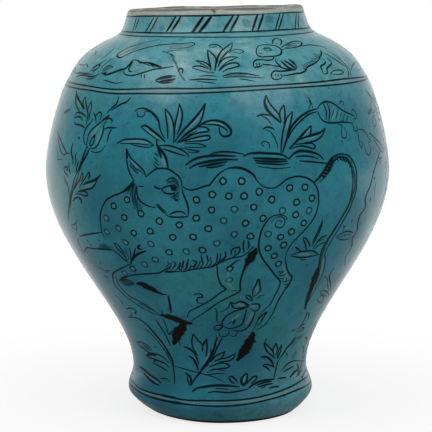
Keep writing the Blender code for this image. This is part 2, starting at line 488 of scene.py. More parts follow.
CLOUDS = (
    Cloud("green", 60, 2.0, 0.5, 0.66, 0.0, 0.55),
    # Darker towards the bottom: pooled glaze and painted shade, more the lower it is
    Cloud("deep_and_shade", 45, 4.0, 0.4, 0.68, -0.1, 0.7, "low"),
    # Paler towards the shoulder: glaze run thin, and painted light from above
    Cloud("thin", 45, 4.0, 0.3, 0.62, 0.35, 1.0, "high"),
    Cloud("bare", 22, 3.0, 0.55, 0.7, 0.0, 0.5, "high"),
    # Darker over the foot: painted shade, with glaze gathered thick
    Cloud("pool", 30, 3.0, 0.3, 0.6, 0.0, 0.4, "foot"),
    # Paler low on the right: painted light and glare from the right, with thinner glaze
    Cloud("thin", 40, 3.0, 0.3, 0.6, 0.2, 0.65, "low right"),
    Cloud("deep_and_shade", 6, 5.0, 0.48, 0.72, 0.0, 0.5),
    Cloud("ink", 2.2, 1.0, 0.7, 0.78, 0.0, 0.6),
)
GATES = {
    # high: the shoulder, for thin glaze with painted light from above, and for worn glaze
    "high": Gate((0.0, 0.0, 1.0), 205, 252),
    # low: painted shade with pooled glaze, growing down to the floor
    "low": Gate((0.0, 0.0, 1.0), 150, 0, 0.45, "ADD"),
    # foot: painted shade over the foot, down to the floor
    "foot": Gate((0.0, 0.0, 1.0), 42, 20),
    # low right: painted light from the right, low on the pot
    "low right": Gate((1.0, 0.0, -0.8), -25, 45),
}

# Worn streaks run down the pot, so their cells are longer upright
RUN_STRETCH = (1.0, 1.0, 0.3)

# Crazing is finer than this many millimetres on the pot, and drawn coarser so that it shows
CRAZE_CELL = 4.5
CRAZE_WIDTH = 0.05
CRAZE_SHARE = 0.16


def glaze_colour(tree):
    """Colour of the turquoise glaze and how worn it is: cloudy, darker low down and over the foot from pooled
    glaze and painted shade, paler and streaked high from thin, worn glaze and painted light from above, and
    paler low on the right from thinner glaze and painted light from the right.
    """
    place = add(tree, "TexCoord").outputs["Object"]
    runs = add(tree, "VectorMath", {0: place, 1: RUN_STRETCH}, operation="MULTIPLY").outputs["Vector"]
    hue = tint("turquoise")
    shares = {}
    for cloud in CLOUDS:
        cells = add(tree, "TexNoise", {
            "Vector": runs if cloud.tone == "bare" else place,
            "Scale": per_metre(cloud.cell), "Detail": cloud.detail,
        }).outputs["Fac"]
        share = add(tree, "MapRange", {
            "Value": cells, "From Min": cloud.start, "From Max": cloud.full,
            "To Min": cloud.least, "To Max": cloud.most,
        }).outputs["Result"]
        if cloud.where in GATES:
            gate = GATES[cloud.where]
            along = add(tree, "VectorMath", {0: place, 1: gate.way}, operation="DOT_PRODUCT")
            open_by = add(tree, "MapRange", {
                "Value": along.outputs["Value"], "From Min": gate.start * MM, "From Max": gate.full * MM,
                "To Max": gate.most,
            }, interpolation_type="SMOOTHSTEP")
            share = add(tree, "Math", {
                0: share, 1: open_by.outputs["Result"],
            }, operation=gate.operation, use_clamp=True).outputs["Value"]
        hue = add(tree, "Mix", {
            "Factor": share, "A": hue, "B": tint(cloud.tone),
        }, data_type="RGBA").outputs["Result"]
        shares[cloud.tone] = share
    cracks = add(tree, "TexVoronoi", {
        "Vector": place, "Scale": per_metre(CRAZE_CELL),
    }, feature="DISTANCE_TO_EDGE").outputs["Distance"]
    crazed = add(tree, "MapRange", {
        "Value": cracks, "From Min": 0.0, "From Max": CRAZE_WIDTH, "To Min": CRAZE_SHARE, "To Max": 0.0,
    }).outputs["Result"]
    hue = add(tree, "Mix", {
        "Factor": crazed, "A": hue, "B": tint("ink"),
    }, data_type="RGBA").outputs["Result"]
    return hue, shares["bare"]


GLAZE_IOR = 1.45
GLAZE_GLOSS, PIGMENT_GLOSS = 0.5, 0.15
FRESH_ROUGHNESS, WORN_ROUGHNESS = 0.2, 0.45
POUR_CELL, POUR_DETAIL = 9, 3.0
POUR_STRENGTH, POUR_DEPTH = 0.35, 0.4 * MM


def glassy(tree, out, hue, worn, gloss):
    """A glaze's surface: glassy, duller where it is worn, and gently uneven from the pour."""
    place = add(tree, "TexCoord").outputs["Object"]
    uneven = add(tree, "TexNoise", {"Vector": place, "Scale": per_metre(POUR_CELL), "Detail": POUR_DETAIL})
    bump = add(tree, "Bump", {
        "Height": uneven.outputs["Fac"], "Strength": POUR_STRENGTH, "Distance": POUR_DEPTH,
    })
    dull = add(tree, "MapRange", {"Value": worn, "To Min": FRESH_ROUGHNESS, "To Max": WORN_ROUGHNESS})
    shader = add(tree, "BsdfPrincipled", {
        "Base Color": hue, "Roughness": dull.outputs["Result"], "IOR": GLAZE_IOR,
        "Specular IOR Level": gloss, "Normal": bump.outputs["Normal"],
    })
    tree.links.new(shader.outputs["BSDF"], out.inputs["Surface"])


def turquoise_glaze():
    """Alkaline glaze, poured and fired: a glassy coat with thick and thin clouds, specks and fine crazing."""
    material, tree, out = blank("turquoise alkaline glaze, poured")
    glassy(tree, out, *glaze_colour(tree), GLAZE_GLOSS)
    return material


# Tones of the pigment, each with the density that shows it, from none to all
PIGMENT_TONES = (("wash", "wash", 0.0, 1.0), ("ink", "ink", 0.05, 0.95), ("brown", "ink", 1.0, 1.3))


def painted_pigment():
    """Black pigment brushed under the glaze: grey where watered, black in a line, brown where thick."""
    material, tree, out = blank("black pigment, brushed under glaze")
    hue, worn = glaze_colour(tree)
    for tone, density, start, full in PIGMENT_TONES:
        laid = add(tree, "Attribute", attribute_name=density).outputs["Fac"]
        share = add(tree, "MapRange", {"Value": laid, "From Min": start, "From Max": full})
        hue = add(tree, "Mix", {
            "Factor": share.outputs["Result"], "A": hue, "B": tint(tone),
        }, data_type="RGBA").outputs["Result"]
    glassy(tree, out, hue, worn, PIGMENT_GLOSS)
    return material


GRAIN_DETAIL = 6.0
GRAIN_SHADE = 0.62
GRAIN_STRENGTH, GRAIN_DEPTH = 0.3, 0.2 * MM


def fired(name, hue, roughness, grain, marks=()):
    """A fired surface with grains of a darker tone, and with marks, each of a colour and where it shows."""
    material, tree, out = blank(name)
    place = add(tree, "TexCoord").outputs["Object"]
    grains = add(tree, "TexNoise", {
        "Vector": place, "Scale": per_metre(grain), "Detail": GRAIN_DETAIL,
    }).outputs["Fac"]
    shade = [c * GRAIN_SHADE for c in tint(hue)[:3]]
    body = add(tree, "Mix", {
        "Factor": grains, "A": tint(hue), "B": (*shade, 1.0),
    }, data_type="RGBA").outputs["Result"]
    for mark, where in marks:
        body = add(tree, "Mix", {
            "Factor": where(tree, place, grains), "A": body, "B": tint(mark),
        }, data_type="RGBA").outputs["Result"]
    bump = add(tree, "Bump", {"Height": grains, "Strength": GRAIN_STRENGTH, "Distance": GRAIN_DEPTH})
    shader = add(tree, "BsdfPrincipled", {
        "Base Color": body, "Roughness": roughness, "Normal": bump.outputs["Normal"],
    })
    tree.links.new(shader.outputs["BSDF"], out.inputs["Surface"])
    return material


# Radii between which the dark band on the foot's bare edge sets in, and heights between which the lip's wear
# does
DARK_EDGE_RADII = (51.5 * MM, 53 * MM)
WEAR_HEIGHTS = (278.6 * MM, 279.6 * MM)
WEAR_CELL, WEAR_DETAIL = 16, 3.0
WEAR_NOISE = (0.36, 0.5)

# Chips of the lip, each with its place to the right, its height and its reach in millimetres
LIP_CHIPS = ((-56, 277.6, 3.2), (-50.5, 278.4, 2.4), (-26, 280, 1.8), (-3, 279.6, 2.2), (-2.4, 277.4, 1.2),
             (24, 280.6, 2.6), (33, 280.8, 1.8))
CHIP_RAG = 0.5
CHIP_EDGE = (1.3, 0.9)


def foot_edge(tree, place, grains):
    """Shows on the bare outer edge of the foot."""
    turned_at = add(tree, "Attribute", attribute_name="turned").outputs["Vector"]
    radius = add(tree, "SeparateXYZ", {"Vector": turned_at}).outputs["X"]
    edge = add(tree, "MapRange", {"Value": radius, "From Min": DARK_EDGE_RADII[0], "From Max": DARK_EDGE_RADII[1]})
    return edge.outputs["Result"]


def lip_top(tree, place, grains):
    """Shows in worn stretches along the top of the lip."""
    turned_at = add(tree, "Attribute", attribute_name="turned").outputs["Vector"]
    height = add(tree, "SeparateXYZ", {"Vector": turned_at}).outputs["Z"]
    top = add(tree, "MapRange", {"Value": height, "From Min": WEAR_HEIGHTS[0], "From Max": WEAR_HEIGHTS[1]})
    stretches = add(tree, "TexNoise", {
        "Vector": place, "Scale": per_metre(WEAR_CELL), "Detail": WEAR_DETAIL,
    })
    worn = add(tree, "MapRange", {
        "Value": stretches.outputs["Fac"], "From Min": WEAR_NOISE[0], "From Max": WEAR_NOISE[1],
    })
    return add(tree, "Math", {
        0: top.outputs["Result"], 1: worn.outputs["Result"],
    }, operation="MULTIPLY").outputs["Value"]


def lip_chips(tree, place, grains):
    """Shows in the chips on the front of the lip."""
    shown = 0.0
    for across, height, reach in LIP_CHIPS:
        x = across * MM
        centre = Vector((x, -math.sqrt(LIP_RADIUS**2 - x**2), height * MM))
        apart = add(tree, "VectorMath", {0: place, 1: centre}, operation="DISTANCE")
        ragged = add(tree, "Math", {
            0: grains, 1: CHIP_RAG * reach * MM, 2: apart.outputs["Value"],
        }, operation="MULTIPLY_ADD")
        chip = add(tree, "MapRange", {
            "Value": ragged.outputs["Value"],
            "From Min": CHIP_EDGE[0] * reach * MM, "From Max": CHIP_EDGE[1] * reach * MM,
        })
        shown = add(tree, "Math", {
            0: shown, 1: chip.outputs["Result"],
        }, operation="MAXIMUM").outputs["Value"]
    return shown


def buff_fritware():
    """Fritware, thrown and fired: dry, buff and grainy, and dark on the bare edge of the foot by the floor.
    """
    marks = [("dark_edge", foot_edge)]
    return fired("buff fritware, thrown and fired", "clay", roughness=0.8, grain=3, marks=marks)


def luting_slip():
    """Slip, brushed into a joint and fired: dry and matt, paler and finer than the clay."""
    return fired("luting slip, fired", "slip", roughness=0.85, grain=2)


def pale_lip_glaze():
    """Glaze that ran off the lip in the fire: a pale half gloss, worn brown on top and chipped."""
    marks = [("chip", lip_top), ("chip", lip_chips)]
    return fired("thin pale glaze on fritware, dipped and worn", "lip", roughness=0.4, grain=4, marks=marks)


def grey_liner_glaze():
    """Glaze swilled round the inside and poured out: thin, grey and softly glossy, in broad clouds."""
    return fired("grey liner glaze, swilled", "liner", roughness=0.35, grain=12)


# Brushwork

class Brush(NamedTuple):
    """How a stroke is laid: its widths in millimetres, how dense its ink or wash is, and its rag."""

    widths: tuple
    ink: float
    wash: float = 0.0
    rag: float = 0.0


FINE = Brush((0.7, 1.2, 1.1, 0.6), 0.9)
LINE = Brush((0.9, 1.6, 1.6, 1.5, 0.8), 1.0)
BOLD = Brush((1.3, 2.4, 2.3, 1.1), 1.0)
BAND = Brush((1.55,), 1.0)
RING = Brush((1.4,), 1.0)
PALE_RING = Brush((1.25,), 0.75)
HEAVY = Brush((0.9, 4.4, 4.0, 0.9), 1.15)
HOOF = Brush((3.4, 8.8, 7.8, 2.4), 1.3, rag=0.6)
PLUME = Brush((2.2, 7.4, 6.8, 2.6, 1.2), 1.2, rag=0.5)
NARROW_HOOF = Brush((2.0, 6.4, 6.0, 1.8), 1.25, rag=0.5)
BAR = Brush((2.0, 2.9, 2.8, 2.4), 1.05)
TAIL = Brush((2.0, 3.0, 3.0, 2.6, 2.6, 3.4, 4.2, 3.2, 1.4), 0.72)
STALK = Brush((1.2, 1.8, 1.6, 1.4), 0.62)
SMUDGE = Brush((2.0, 7.0, 6.0, 2.0), 0.28)
BROAD_WASH = Brush((2.0, 5.0, 4.6, 3.6, 1.2), 0.32, 0.5)
DOT = Brush((1.3, 2.4, 1.3), 1.0)
SHADE = Brush((1.4, 4.0, 3.6, 1.2), 0.48)
WASH = Brush((0.9, 2.8, 2.8, 0.9), 0.0, 0.3)
BAND_WASH = Brush((2.6,), 0.0, 0.35)
SPOT_WASH = Brush((1.6, 3.0, 1.6), 0.0, 0.24)

STROKE_STEP = 1.5 * MM
LEAST_RUN = 1e-9
PAINT_SEED = 7

# A stroke stands as a film on the glaze: sunk and faded at its edges, and bedded below
FILM = 0.03 * MM
SUNK = -0.02 * MM
BEDDED = -0.4 * MM
SOFT_EDGE = 0.55
FADED = 0.1

# The pressure of the brush swells its width, and a dry brush tears its edges
PRESSURE = 0.16
PRESSURE_STEP = 7.0 * MM
PRESSURE_STARTS = 100
RAG_STEP = 2.2 * MM

# Lines round the pot, small rings, spirals and fringes
GIRDLE_STEPS = 240
GIRDLE_BLUR = 7
RING_STEPS = 12
RING_WOBBLE = (0.85, 1.15)
SPIRAL_TURNS = 1.5
FRINGE_REACH = (0.7, 1.2)
FRINGE_BEND = (0.05, 0.2)


class Painting:
    """Brush strokes on the glaze that make one thin piece."""

    def __init__(self, outside, turn=0.0, mirrored=False):
        self.outside = outside
        self.turn = turn
        self.flip = -1 if mirrored else 1
        self.dice = random.Random(PAINT_SEED)
        self.verts, self.normals, self.densities, self.faces = [], [], [], []

    def placed(self, pixels):
        """Angle and height on the pot of pixels of the photograph's frame."""
        found = self.outside.seen_at(pixels)
        found[:, 0] = FRONT + self.turn + self.flip * (found[:, 0] - FRONT)
        return found

    def around(self, pixel, turns, reach):
        """Places on the pot that lie round a pixel, at turns and at reaches in metres."""
        (angle, height), = self.placed([pixel])
        girth, rise = self.outside.radius(height), self.outside.rise(height)
        across, up = reach * np.cos(turns) / girth, reach * np.sin(turns) * rise
        return np.stack([angle + across, height + up], axis=-1)

    def lay(self, places, brush, closed=False):
        """Lays one stroke through places on the pot."""
        girth = self.outside.radius(places[:, 1].mean())
        line = smooth_through(places * (girth, 1.0), STROKE_STEP, closed)
        self.ribbon(line[:, 0] / girth, line[:, 1], brush, closed)

    def ribbon(self, angle, height, brush, closed):
        """Makes a closed ribbon with soft edges along a line on the pot."""
        outside = self.outside
        girth = outside.radius(height.mean())
        rise = outside.rise(height)
        around = girth * (np.roll(angle, -1) - np.roll(angle, 1))
        up = (np.roll(height, -1) - np.roll(height, 1)) / rise
        if closed:
            lap = FULL_TURN * round((angle[-1] - angle[0]) / FULL_TURN)
            around[0] += girth * lap
            around[-1] += girth * lap
        else:
            around[0], around[-1] = girth * (angle[1] - angle[0]), girth * (angle[-1] - angle[-2])
            up[0], up[-1] = (height[1] - height[0]) / rise[0], (height[-1] - height[-2]) / rise[-1]
        run = np.maximum(np.hypot(around, up), LEAST_RUN)
        gone = np.concatenate([[0], np.cumsum(np.hypot(np.diff(angle) * girth, np.diff(height) / rise[1:]))])
        share = gone / gone[-1]
        width = np.interp(share, np.linspace(0, 1, len(brush.widths)), brush.widths) * MM
        start = self.dice.uniform(0, PRESSURE_STARTS)
        along = gone[-1] * np.sin(math.pi * share) if closed else gone
        swell = [noise.noise((start, s / PRESSURE_STEP, 0.0)) for s in along]
        half = width * (1 + PRESSURE * np.array(swell)) / 2
        torn = {side: 1 + brush.rag * np.array([noise.noise((start, s / RAG_STEP, side)) for s in along])
                for side in (-1.0, 1.0)}
        film = FILM * (1 + brush.ink)
        first = len(self.verts)
        section = ((-1, SUNK, FADED), (-SOFT_EDGE, film, 1), (SOFT_EDGE, film, 1), (1, SUNK, FADED),
                   (SOFT_EDGE, BEDDED, 1), (-SOFT_EDGE, BEDDED, 1))
        for across, lift, share in section:
            reach = across * half * torn[math.copysign(1.0, across)]
            a = angle - reach * up / run / girth
            z = np.clip(height + reach * around / run * rise, outside.heights[0], outside.heights[-1])
            normal = outside.normal(a, z)
            self.verts += (outside.point(a, z) + normal * lift).tolist()
            self.normals += normal.tolist()
            self.densities += [(share * brush.ink, share * brush.wash)] * len(a)
        count = len(angle)
        rows = len(section)
        for row in range(rows):
            low, high = first + row * count, first + (row + 1) % rows * count
            for i in range(count if closed else count - 1):
                ahead = (i + 1) % count
                self.faces.append((low + i, low + ahead, high + ahead, high + i))
        if not closed:
            ends = [first + row * count for row in range(rows)]
            self.faces.append(tuple(ends))
            self.faces.append(tuple(e + count - 1 for e in reversed(ends)))

    def draw(self, motif):
        """Lays every stroke of a motif, washes first."""
        for brush, strokes in sorted(motif.items(), key=lambda item: item[0].ink):
            for pixels in strokes:
                self.lay(self.placed(pixels), brush)

    def girdle(self, pixels, brush):
        """Lays a line round the whole pot that passes through the pixels."""
        seen = self.outside.seen_at(pixels)
        angles = np.arange(GIRDLE_STEPS) * (FULL_TURN / GIRDLE_STEPS)
        heights = np.interp(angles, seen[:, 0] % FULL_TURN, seen[:, 1], period=FULL_TURN)
        blur = np.ones(GIRDLE_BLUR) / GIRDLE_BLUR
        wide = np.concatenate([heights[-GIRDLE_BLUR:], heights, heights[:GIRDLE_BLUR]])
        heights = np.convolve(wide, blur, "same")[GIRDLE_BLUR:-GIRDLE_BLUR]
        self.ribbon(angles, heights, brush, closed=True)

    def ring(self, pixel, size, brush):
        """Lays a small uneven ring round a pixel."""
        turns = np.arange(RING_STEPS) * (FULL_TURN / RING_STEPS)
        reach = size * MM * np.array([self.dice.uniform(*RING_WOBBLE) for _ in turns])
        self.lay(self.around(pixel, turns, reach), brush, closed=True)

    def spiral(self, pixel, inner, outer, brush):
        """Lays a spiral round a pixel."""
        turns = np.linspace(0, SPIRAL_TURNS * FULL_TURN, int(SPIRAL_TURNS * RING_STEPS))
        reach = np.linspace(inner, outer, len(turns)) * MM
        self.lay(self.around(pixel, turns, reach), brush)

    def fringe(self, pixels, count, reach, brush):
        """Lays short strokes along a line of pixels, each reaching the same way."""
        pixels = np.array(pixels, float)
        gone = np.concatenate([[0], np.cumsum(np.hypot(*np.diff(pixels, axis=0).T))])
        for spot in np.linspace(0, gone[-1], count):
            root = np.array([np.interp(spot, gone, pixels[:, 0]), np.interp(spot, gone, pixels[:, 1])])
            tip = np.array(reach) * self.dice.uniform(*FRINGE_REACH)
            bend = np.array([-tip[1], tip[0]]) * self.dice.uniform(*FRINGE_BEND)
            self.lay(self.placed([root, root + tip / 2 + bend, root + tip]), brush)

    def finished(self, name, material):
        """Makes the strokes one piece that rides the pot and is shaded along with the glaze."""
        mesh = bpy.data.meshes.new(name)
        mesh.from_pydata(self.verts, [], self.faces)
        mesh.shade_smooth()
        mesh.normals_split_custom_set_from_vertices(self.normals)
        for density, values in zip(("ink", "wash"), np.array(self.densities, np.float32).T):
            laid = mesh.attributes.new(density, "FLOAT", "POINT")
            laid.data.foreach_set("value", np.ascontiguousarray(values))
        piece = bpy.data.objects.new(name, mesh)
        bpy.context.scene.collection.objects.link(piece)
        settle(piece, material)


# The back repeats the front, and the flanks fill what both leave
SIDES = (("front", 0.0, False), ("back", math.pi, True))
FLANKS = {"right": math.pi / 2, "left": -math.pi / 2}


# Motifs: each lists its strokes by brush, as points read in the photograph's frame

GIRDLES = {BAND: (
    ((126, 15.7), (146, 15.9), (175, 15.7), (209, 15.9), (238, 14.9), (269, 13.1), (303, 12)),
    ((122.5, 31), (146, 32.7), (198, 32.8), (242, 31.8), (262, 31), (282, 29.8), (309, 27.8)),
    ((122, 34.5), (138, 36.2), (165, 36.7), (215, 37.2), (242, 37.2), (269, 36.2), (311, 32)),
    ((69.4, 81.9), (90, 86.2), (108, 89.2), (120, 89.6), (162, 88.1), (202, 88.7), (255, 86), (319, 82),
     (343, 78.8), (365, 76.5)),
    ((68, 86.2), (93.5, 90.6), (113.6, 93.9), (134, 93.3), (172, 93.8), (220, 92.1), (279, 88.4),
     (311, 86.4), (343, 84), (366.6, 78.8)),
    ((134.4, 382.9), (137.4, 386.9), (145.4, 390.9), (157.5, 394.3), (170.9, 397), (183.6, 400),
     (203.7, 400.6), (225, 400.8), (248.5, 399), (265.2, 395.6), (282, 390.3), (295.4, 384.2),
     (301.4, 380.2)),
    ((135.4, 388.3), (140.1, 392.3), (150.8, 397), (162.9, 400.3), (176.9, 403), (191.7, 404.7),
     (207.1, 406), (225, 406.4), (248.5, 404), (265.2, 400.3), (278.6, 397), (294, 390.9)),
)}

RULED_WASHES = {BAND_WASH: (
    ((122, 32.8), (142, 34.5), (198, 35), (242, 34.5), (269, 33.4), (310, 30)),
    ((68.7, 84), (92, 88.4), (111, 91.6), (130, 91.2), (172, 91), (220, 90), (267, 87.6), (315, 84.2),
     (343, 81.4), (366, 77.6)),
    ((135, 385.2), (149, 393.4), (171, 399.4), (188, 402.8), (207, 403.5), (235, 402.6), (254, 400.4),
     (272, 396.2), (298, 385.6)),
)}

RULED_OVERSTROKES = {BOLD: (
    ((150.8, 396.6), (162.9, 400.1), (176.9, 402.8), (191.7, 404.5)),
    ((157.5, 394.3), (170.9, 397.2), (184, 400.2)),
), SMUDGE: (
    ((213, 412.6), (217.6, 414), (222.6, 417.4)), ((242, 20), (247, 23.5), (251, 27)),
    ((265, 17.5), (269.5, 20), (273, 22.5)),
), WASH: (
    ((155, 396.4), (170, 399.6), (183, 402), (191, 402.8)),
)}

NECK_BARS = {LINE: (
    ((136.6, 17), (132.6, 31)), ((139.6, 17), (134.6, 30.6)), ((154.4, 16.8), (145, 32.4)),
    ((158.1, 16.8), (149.7, 32)), ((280, 12.9), (275.6, 30)), ((283.6, 12.6), (278.6, 29.8)),
    ((296.4, 12.4), (295.4, 28.8)), ((298.7, 12.3), (298.4, 28.6)),
), BOLD: (
    ((175.9, 16.4), (166.4, 32)), ((181, 16.4), (171.1, 32)), ((233.4, 15.2), (223, 32)),
    ((238.8, 15), (230, 31.8)), ((257.5, 14.2), (252.2, 31.2)), ((263.6, 13.8), (257.9, 31)),
), WASH: (
    ((178.4, 17), (168.8, 31)), ((207.4, 17), (195.6, 31.6)), ((236, 16.5), (226.6, 31)),
    ((260.5, 15), (255, 30)), ((156, 17), (147.6, 31)), ((281.8, 13.8), (277, 29)), ((138, 18), (134, 29.6)),
), BAR: (
    ((203.4, 16.4), (192.5, 32.4)), ((211.4, 16.6), (198.6, 32.8)),
)}

# A pair of the neck's bars with its wash, and the turns in degrees that carry it into the flanks' gaps
FLANK_BARS = {WASH: NECK_BARS[WASH][3:4], BOLD: NECK_BARS[BOLD][4:6]}
FLANK_BAR_TURNS = {"right": (57, 71), "left": (-109, -123)}

DUCK = {LINE: (
    ((159.8, 39.5), (153.8, 40.5), (147.4, 42.2), (139, 44.6), (131, 46.6), (123.8, 50), (117.8, 54.2),
     (117.6, 56.6), (120.6, 57.6), (124.6, 55.8), (130.6, 52.9), (141.8, 49), (156.5, 45.6), (167.9, 44.2),
     (182, 43.5), (193.3, 42.9), (195, 44.2), (186.7, 47.5), (169.9, 48.2)),
    ((133, 60.4), (131.4, 64.6), (129, 68.5), (129.6, 71.2), (132.6, 71.8)),
    ((133, 59.8), (137.7, 60.4), (140.6, 62.6), (145.7, 62.5), (151.7, 63.1), (157.1, 65.1), (161.8, 67.1)),
    ((174, 66.3), (165, 67.8), (153.8, 69.4), (147.1, 71.4), (140.4, 73.4), (133.7, 75.3), (128.3, 75.3),
     (124.5, 73.8), (123.7, 71.2)),
    ((155, 80.4), (161.6, 77.2), (170.4, 75.8), (176.3, 76.3)), ((155.7, 81), (163.1, 82.9), (173.3, 82.1)),
    ((178.5, 71.9), (179.9, 68.2), (182.9, 69.7), (182.1, 73.3)),
    ((189.5, 79.9), (202.7, 79.2), (217.4, 79.9)),
), BOLD: (
    ((101.5, 73), (106.9, 74.5), (113.6, 72.5), (120.3, 69.9), (125.6, 68.5), (129, 65.1), (132.4, 60.2)),
    ((133, 60.2), (129.6, 64.6), (126.6, 68.4)), ((148.6, 63), (154.6, 65.2), (161, 67.2)),
    ((157, 79.6), (164, 77.8), (172, 77)), ((160, 81.4), (168, 80.4), (175, 79.6)),
), FINE: (
    ((167.2, 51.6), (172.6, 50.6), (182, 49.6)), ((170.6, 53.6), (174.6, 56.9)),
    ((100.9, 68.5), (105.5, 63.8), (110.9, 59.8), (116.3, 57.8)),
    ((102, 71.4), (105, 67.8), (109.6, 65.8), (113.6, 66.8)), ((150.6, 82.4), (151.8, 82.4)),
    ((197, 81.4), (205, 82), (215.5, 83.4)), ((199, 76.3), (207, 75.7), (217.5, 76.3)),
    ((102.9, 79.9), (108.2, 81.2), (115.6, 83.2), (123.6, 81.9)), ((141.4, 74.5), (141.4, 77.9)),
    ((144.4, 74.5), (144.7, 78.5)), ((137.5, 65), (138.6, 65.4)), ((143, 66), (144.1, 66.4)),
    ((147.6, 65), (148.6, 65.4)), ((134.4, 67.6), (135.4, 68)), ((139, 68.6), (140, 69)),
    ((144.6, 69), (145.6, 69.2)), ((135.6, 71.6), (136.6, 71.8)), ((149, 67.8), (150, 68)),
    ((146, 63.6), (150, 66)), ((150.6, 65), (155, 67.6)), ((141, 61.4), (146, 64.6)),
), DOT: (
    ((107.4, 69), (108.8, 69)), ((104.6, 72.6), (106.2, 72.8)),
), SHADE: (
    ((103.6, 71), (108, 68.2), (113.6, 67.4)), ((161, 79.6), (169, 79.4), (176, 78.6)),
), BROAD_WASH: (
    ((119.4, 55.4), (126.6, 51.8), (136, 48), (147, 44.6), (157, 41.6)),
    ((168, 46.4), (180, 45.5), (192, 44.2)),
), WASH: (
    ((105, 70.6), (110, 68.4), (115, 66.6)), ((131.5, 70.4), (138, 67.6), (147, 66.4), (156, 66.6)),
), STALK: (
    ((163, 51.4), (170.4, 54.3), (174.6, 61), (177.6, 67.6), (181, 75.6), (185, 80.7)),
)}

SHORE_PLANT = {LINE: (
    ((115.4, 47.6), (110.9, 51.4), (106.2, 55.8), (101.5, 58.4)),
    ((106, 60), (100, 63.8), (94, 67.8), (91, 71.2)),
    ((93, 67.6), (97.5, 65), (100.2, 65.8), (97.5, 68.5), (92, 70.8)), ((76, 73), (83, 73.2), (92, 74.5)),
    ((76, 76.5), (83, 75.2), (93.5, 76.4), (100, 73.8)),
), FINE: (
    ((79, 64.5), (83, 65), (87, 64.5)), ((85, 78.5), (90, 79), (95, 77)),
    ((95, 54.4), (96.4, 51), (95.4, 54.6), (92.4, 56.4)), ((86.6, 63.4), (88.4, 67.4)),
    ((98.6, 57.6), (102.6, 54)), ((92.4, 72.4), (97.6, 68.6), (101, 65.4)),
), SHADE: (
    ((88, 77.6), (94, 77.6), (99.6, 73.6)),
)}

FRIEZE_TUFT = {LINE: (
    ((195.4, 60.6), (202, 61.6), (208, 64.3), (211.4, 69)),
    ((192, 67.6), (194.7, 66.3), (201.4, 66.3), (208, 69)),
    ((207.7, 49.6), (208, 55.6), (209.8, 63.6), (211.4, 69.6)),
    ((208.4, 49.9), (212, 53.6), (216, 58.3), (214.8, 71)),
    ((208.8, 46.2), (211.4, 44.5), (215.5, 44.5), (219, 45.5), (222.4, 48.9)),
    ((217, 63.6), (218, 56.9), (221, 51.6), (226.4, 46.9), (232.4, 42.5)),
    ((217.7, 67), (221.7, 60.3), (229.7, 56.9), (237.8, 57.3)),
    ((219, 71), (225, 65.6), (232.4, 62.9), (238.4, 63.6), (239.4, 65.6), (233.8, 67.6), (227.7, 69),
     (222.4, 72.3)),
    ((222.4, 76.3), (230.4, 73.7), (241.8, 73.3), (252.5, 74.7), (259, 76)),
), FINE: (
    ((196, 60.9), (201.4, 63.6), (207.4, 67), (211.4, 71)),
    ((192.4, 68.3), (198, 69.6), (205.4, 71.7), (214, 72.7)), ((208.8, 46.9), (212.8, 47.5), (216.8, 46.5)),
    ((222.4, 48.9), (219.7, 53.6), (217.4, 58)), ((232.4, 42.9), (231, 48.9), (227, 52.9), (222.4, 58.3)),
    ((229, 52.9), (232.4, 50.2), (239.8, 49.6), (243.8, 51.6), (240.4, 53.2), (233, 52.2)),
    ((237.8, 57.5), (231.7, 59.6), (225, 63.6), (218.4, 71)),
    ((223.7, 77.7), (235, 76.7), (247, 77), (264.6, 78)), ((239, 78.7), (248.5, 80), (255, 81.4)),
    ((218.6, 62.4), (223, 56), (228, 50)), ((219.6, 69), (226, 62.6), (234, 59.4)),
), SHADE: (
    ((226, 76.6), (234, 75.4), (246, 75.6)),
), WASH: (
    ((198, 61.8), (204, 64), (209, 68)), ((195, 67.8), (203, 69), (210, 71)),
    ((209.4, 53), (212, 60), (213, 69)), ((229, 47.5), (224, 53), (219.4, 60)),
    ((233, 58.4), (226, 61), (220.4, 66.6)), ((236, 65), (229, 67), (223, 70.5)),
)}

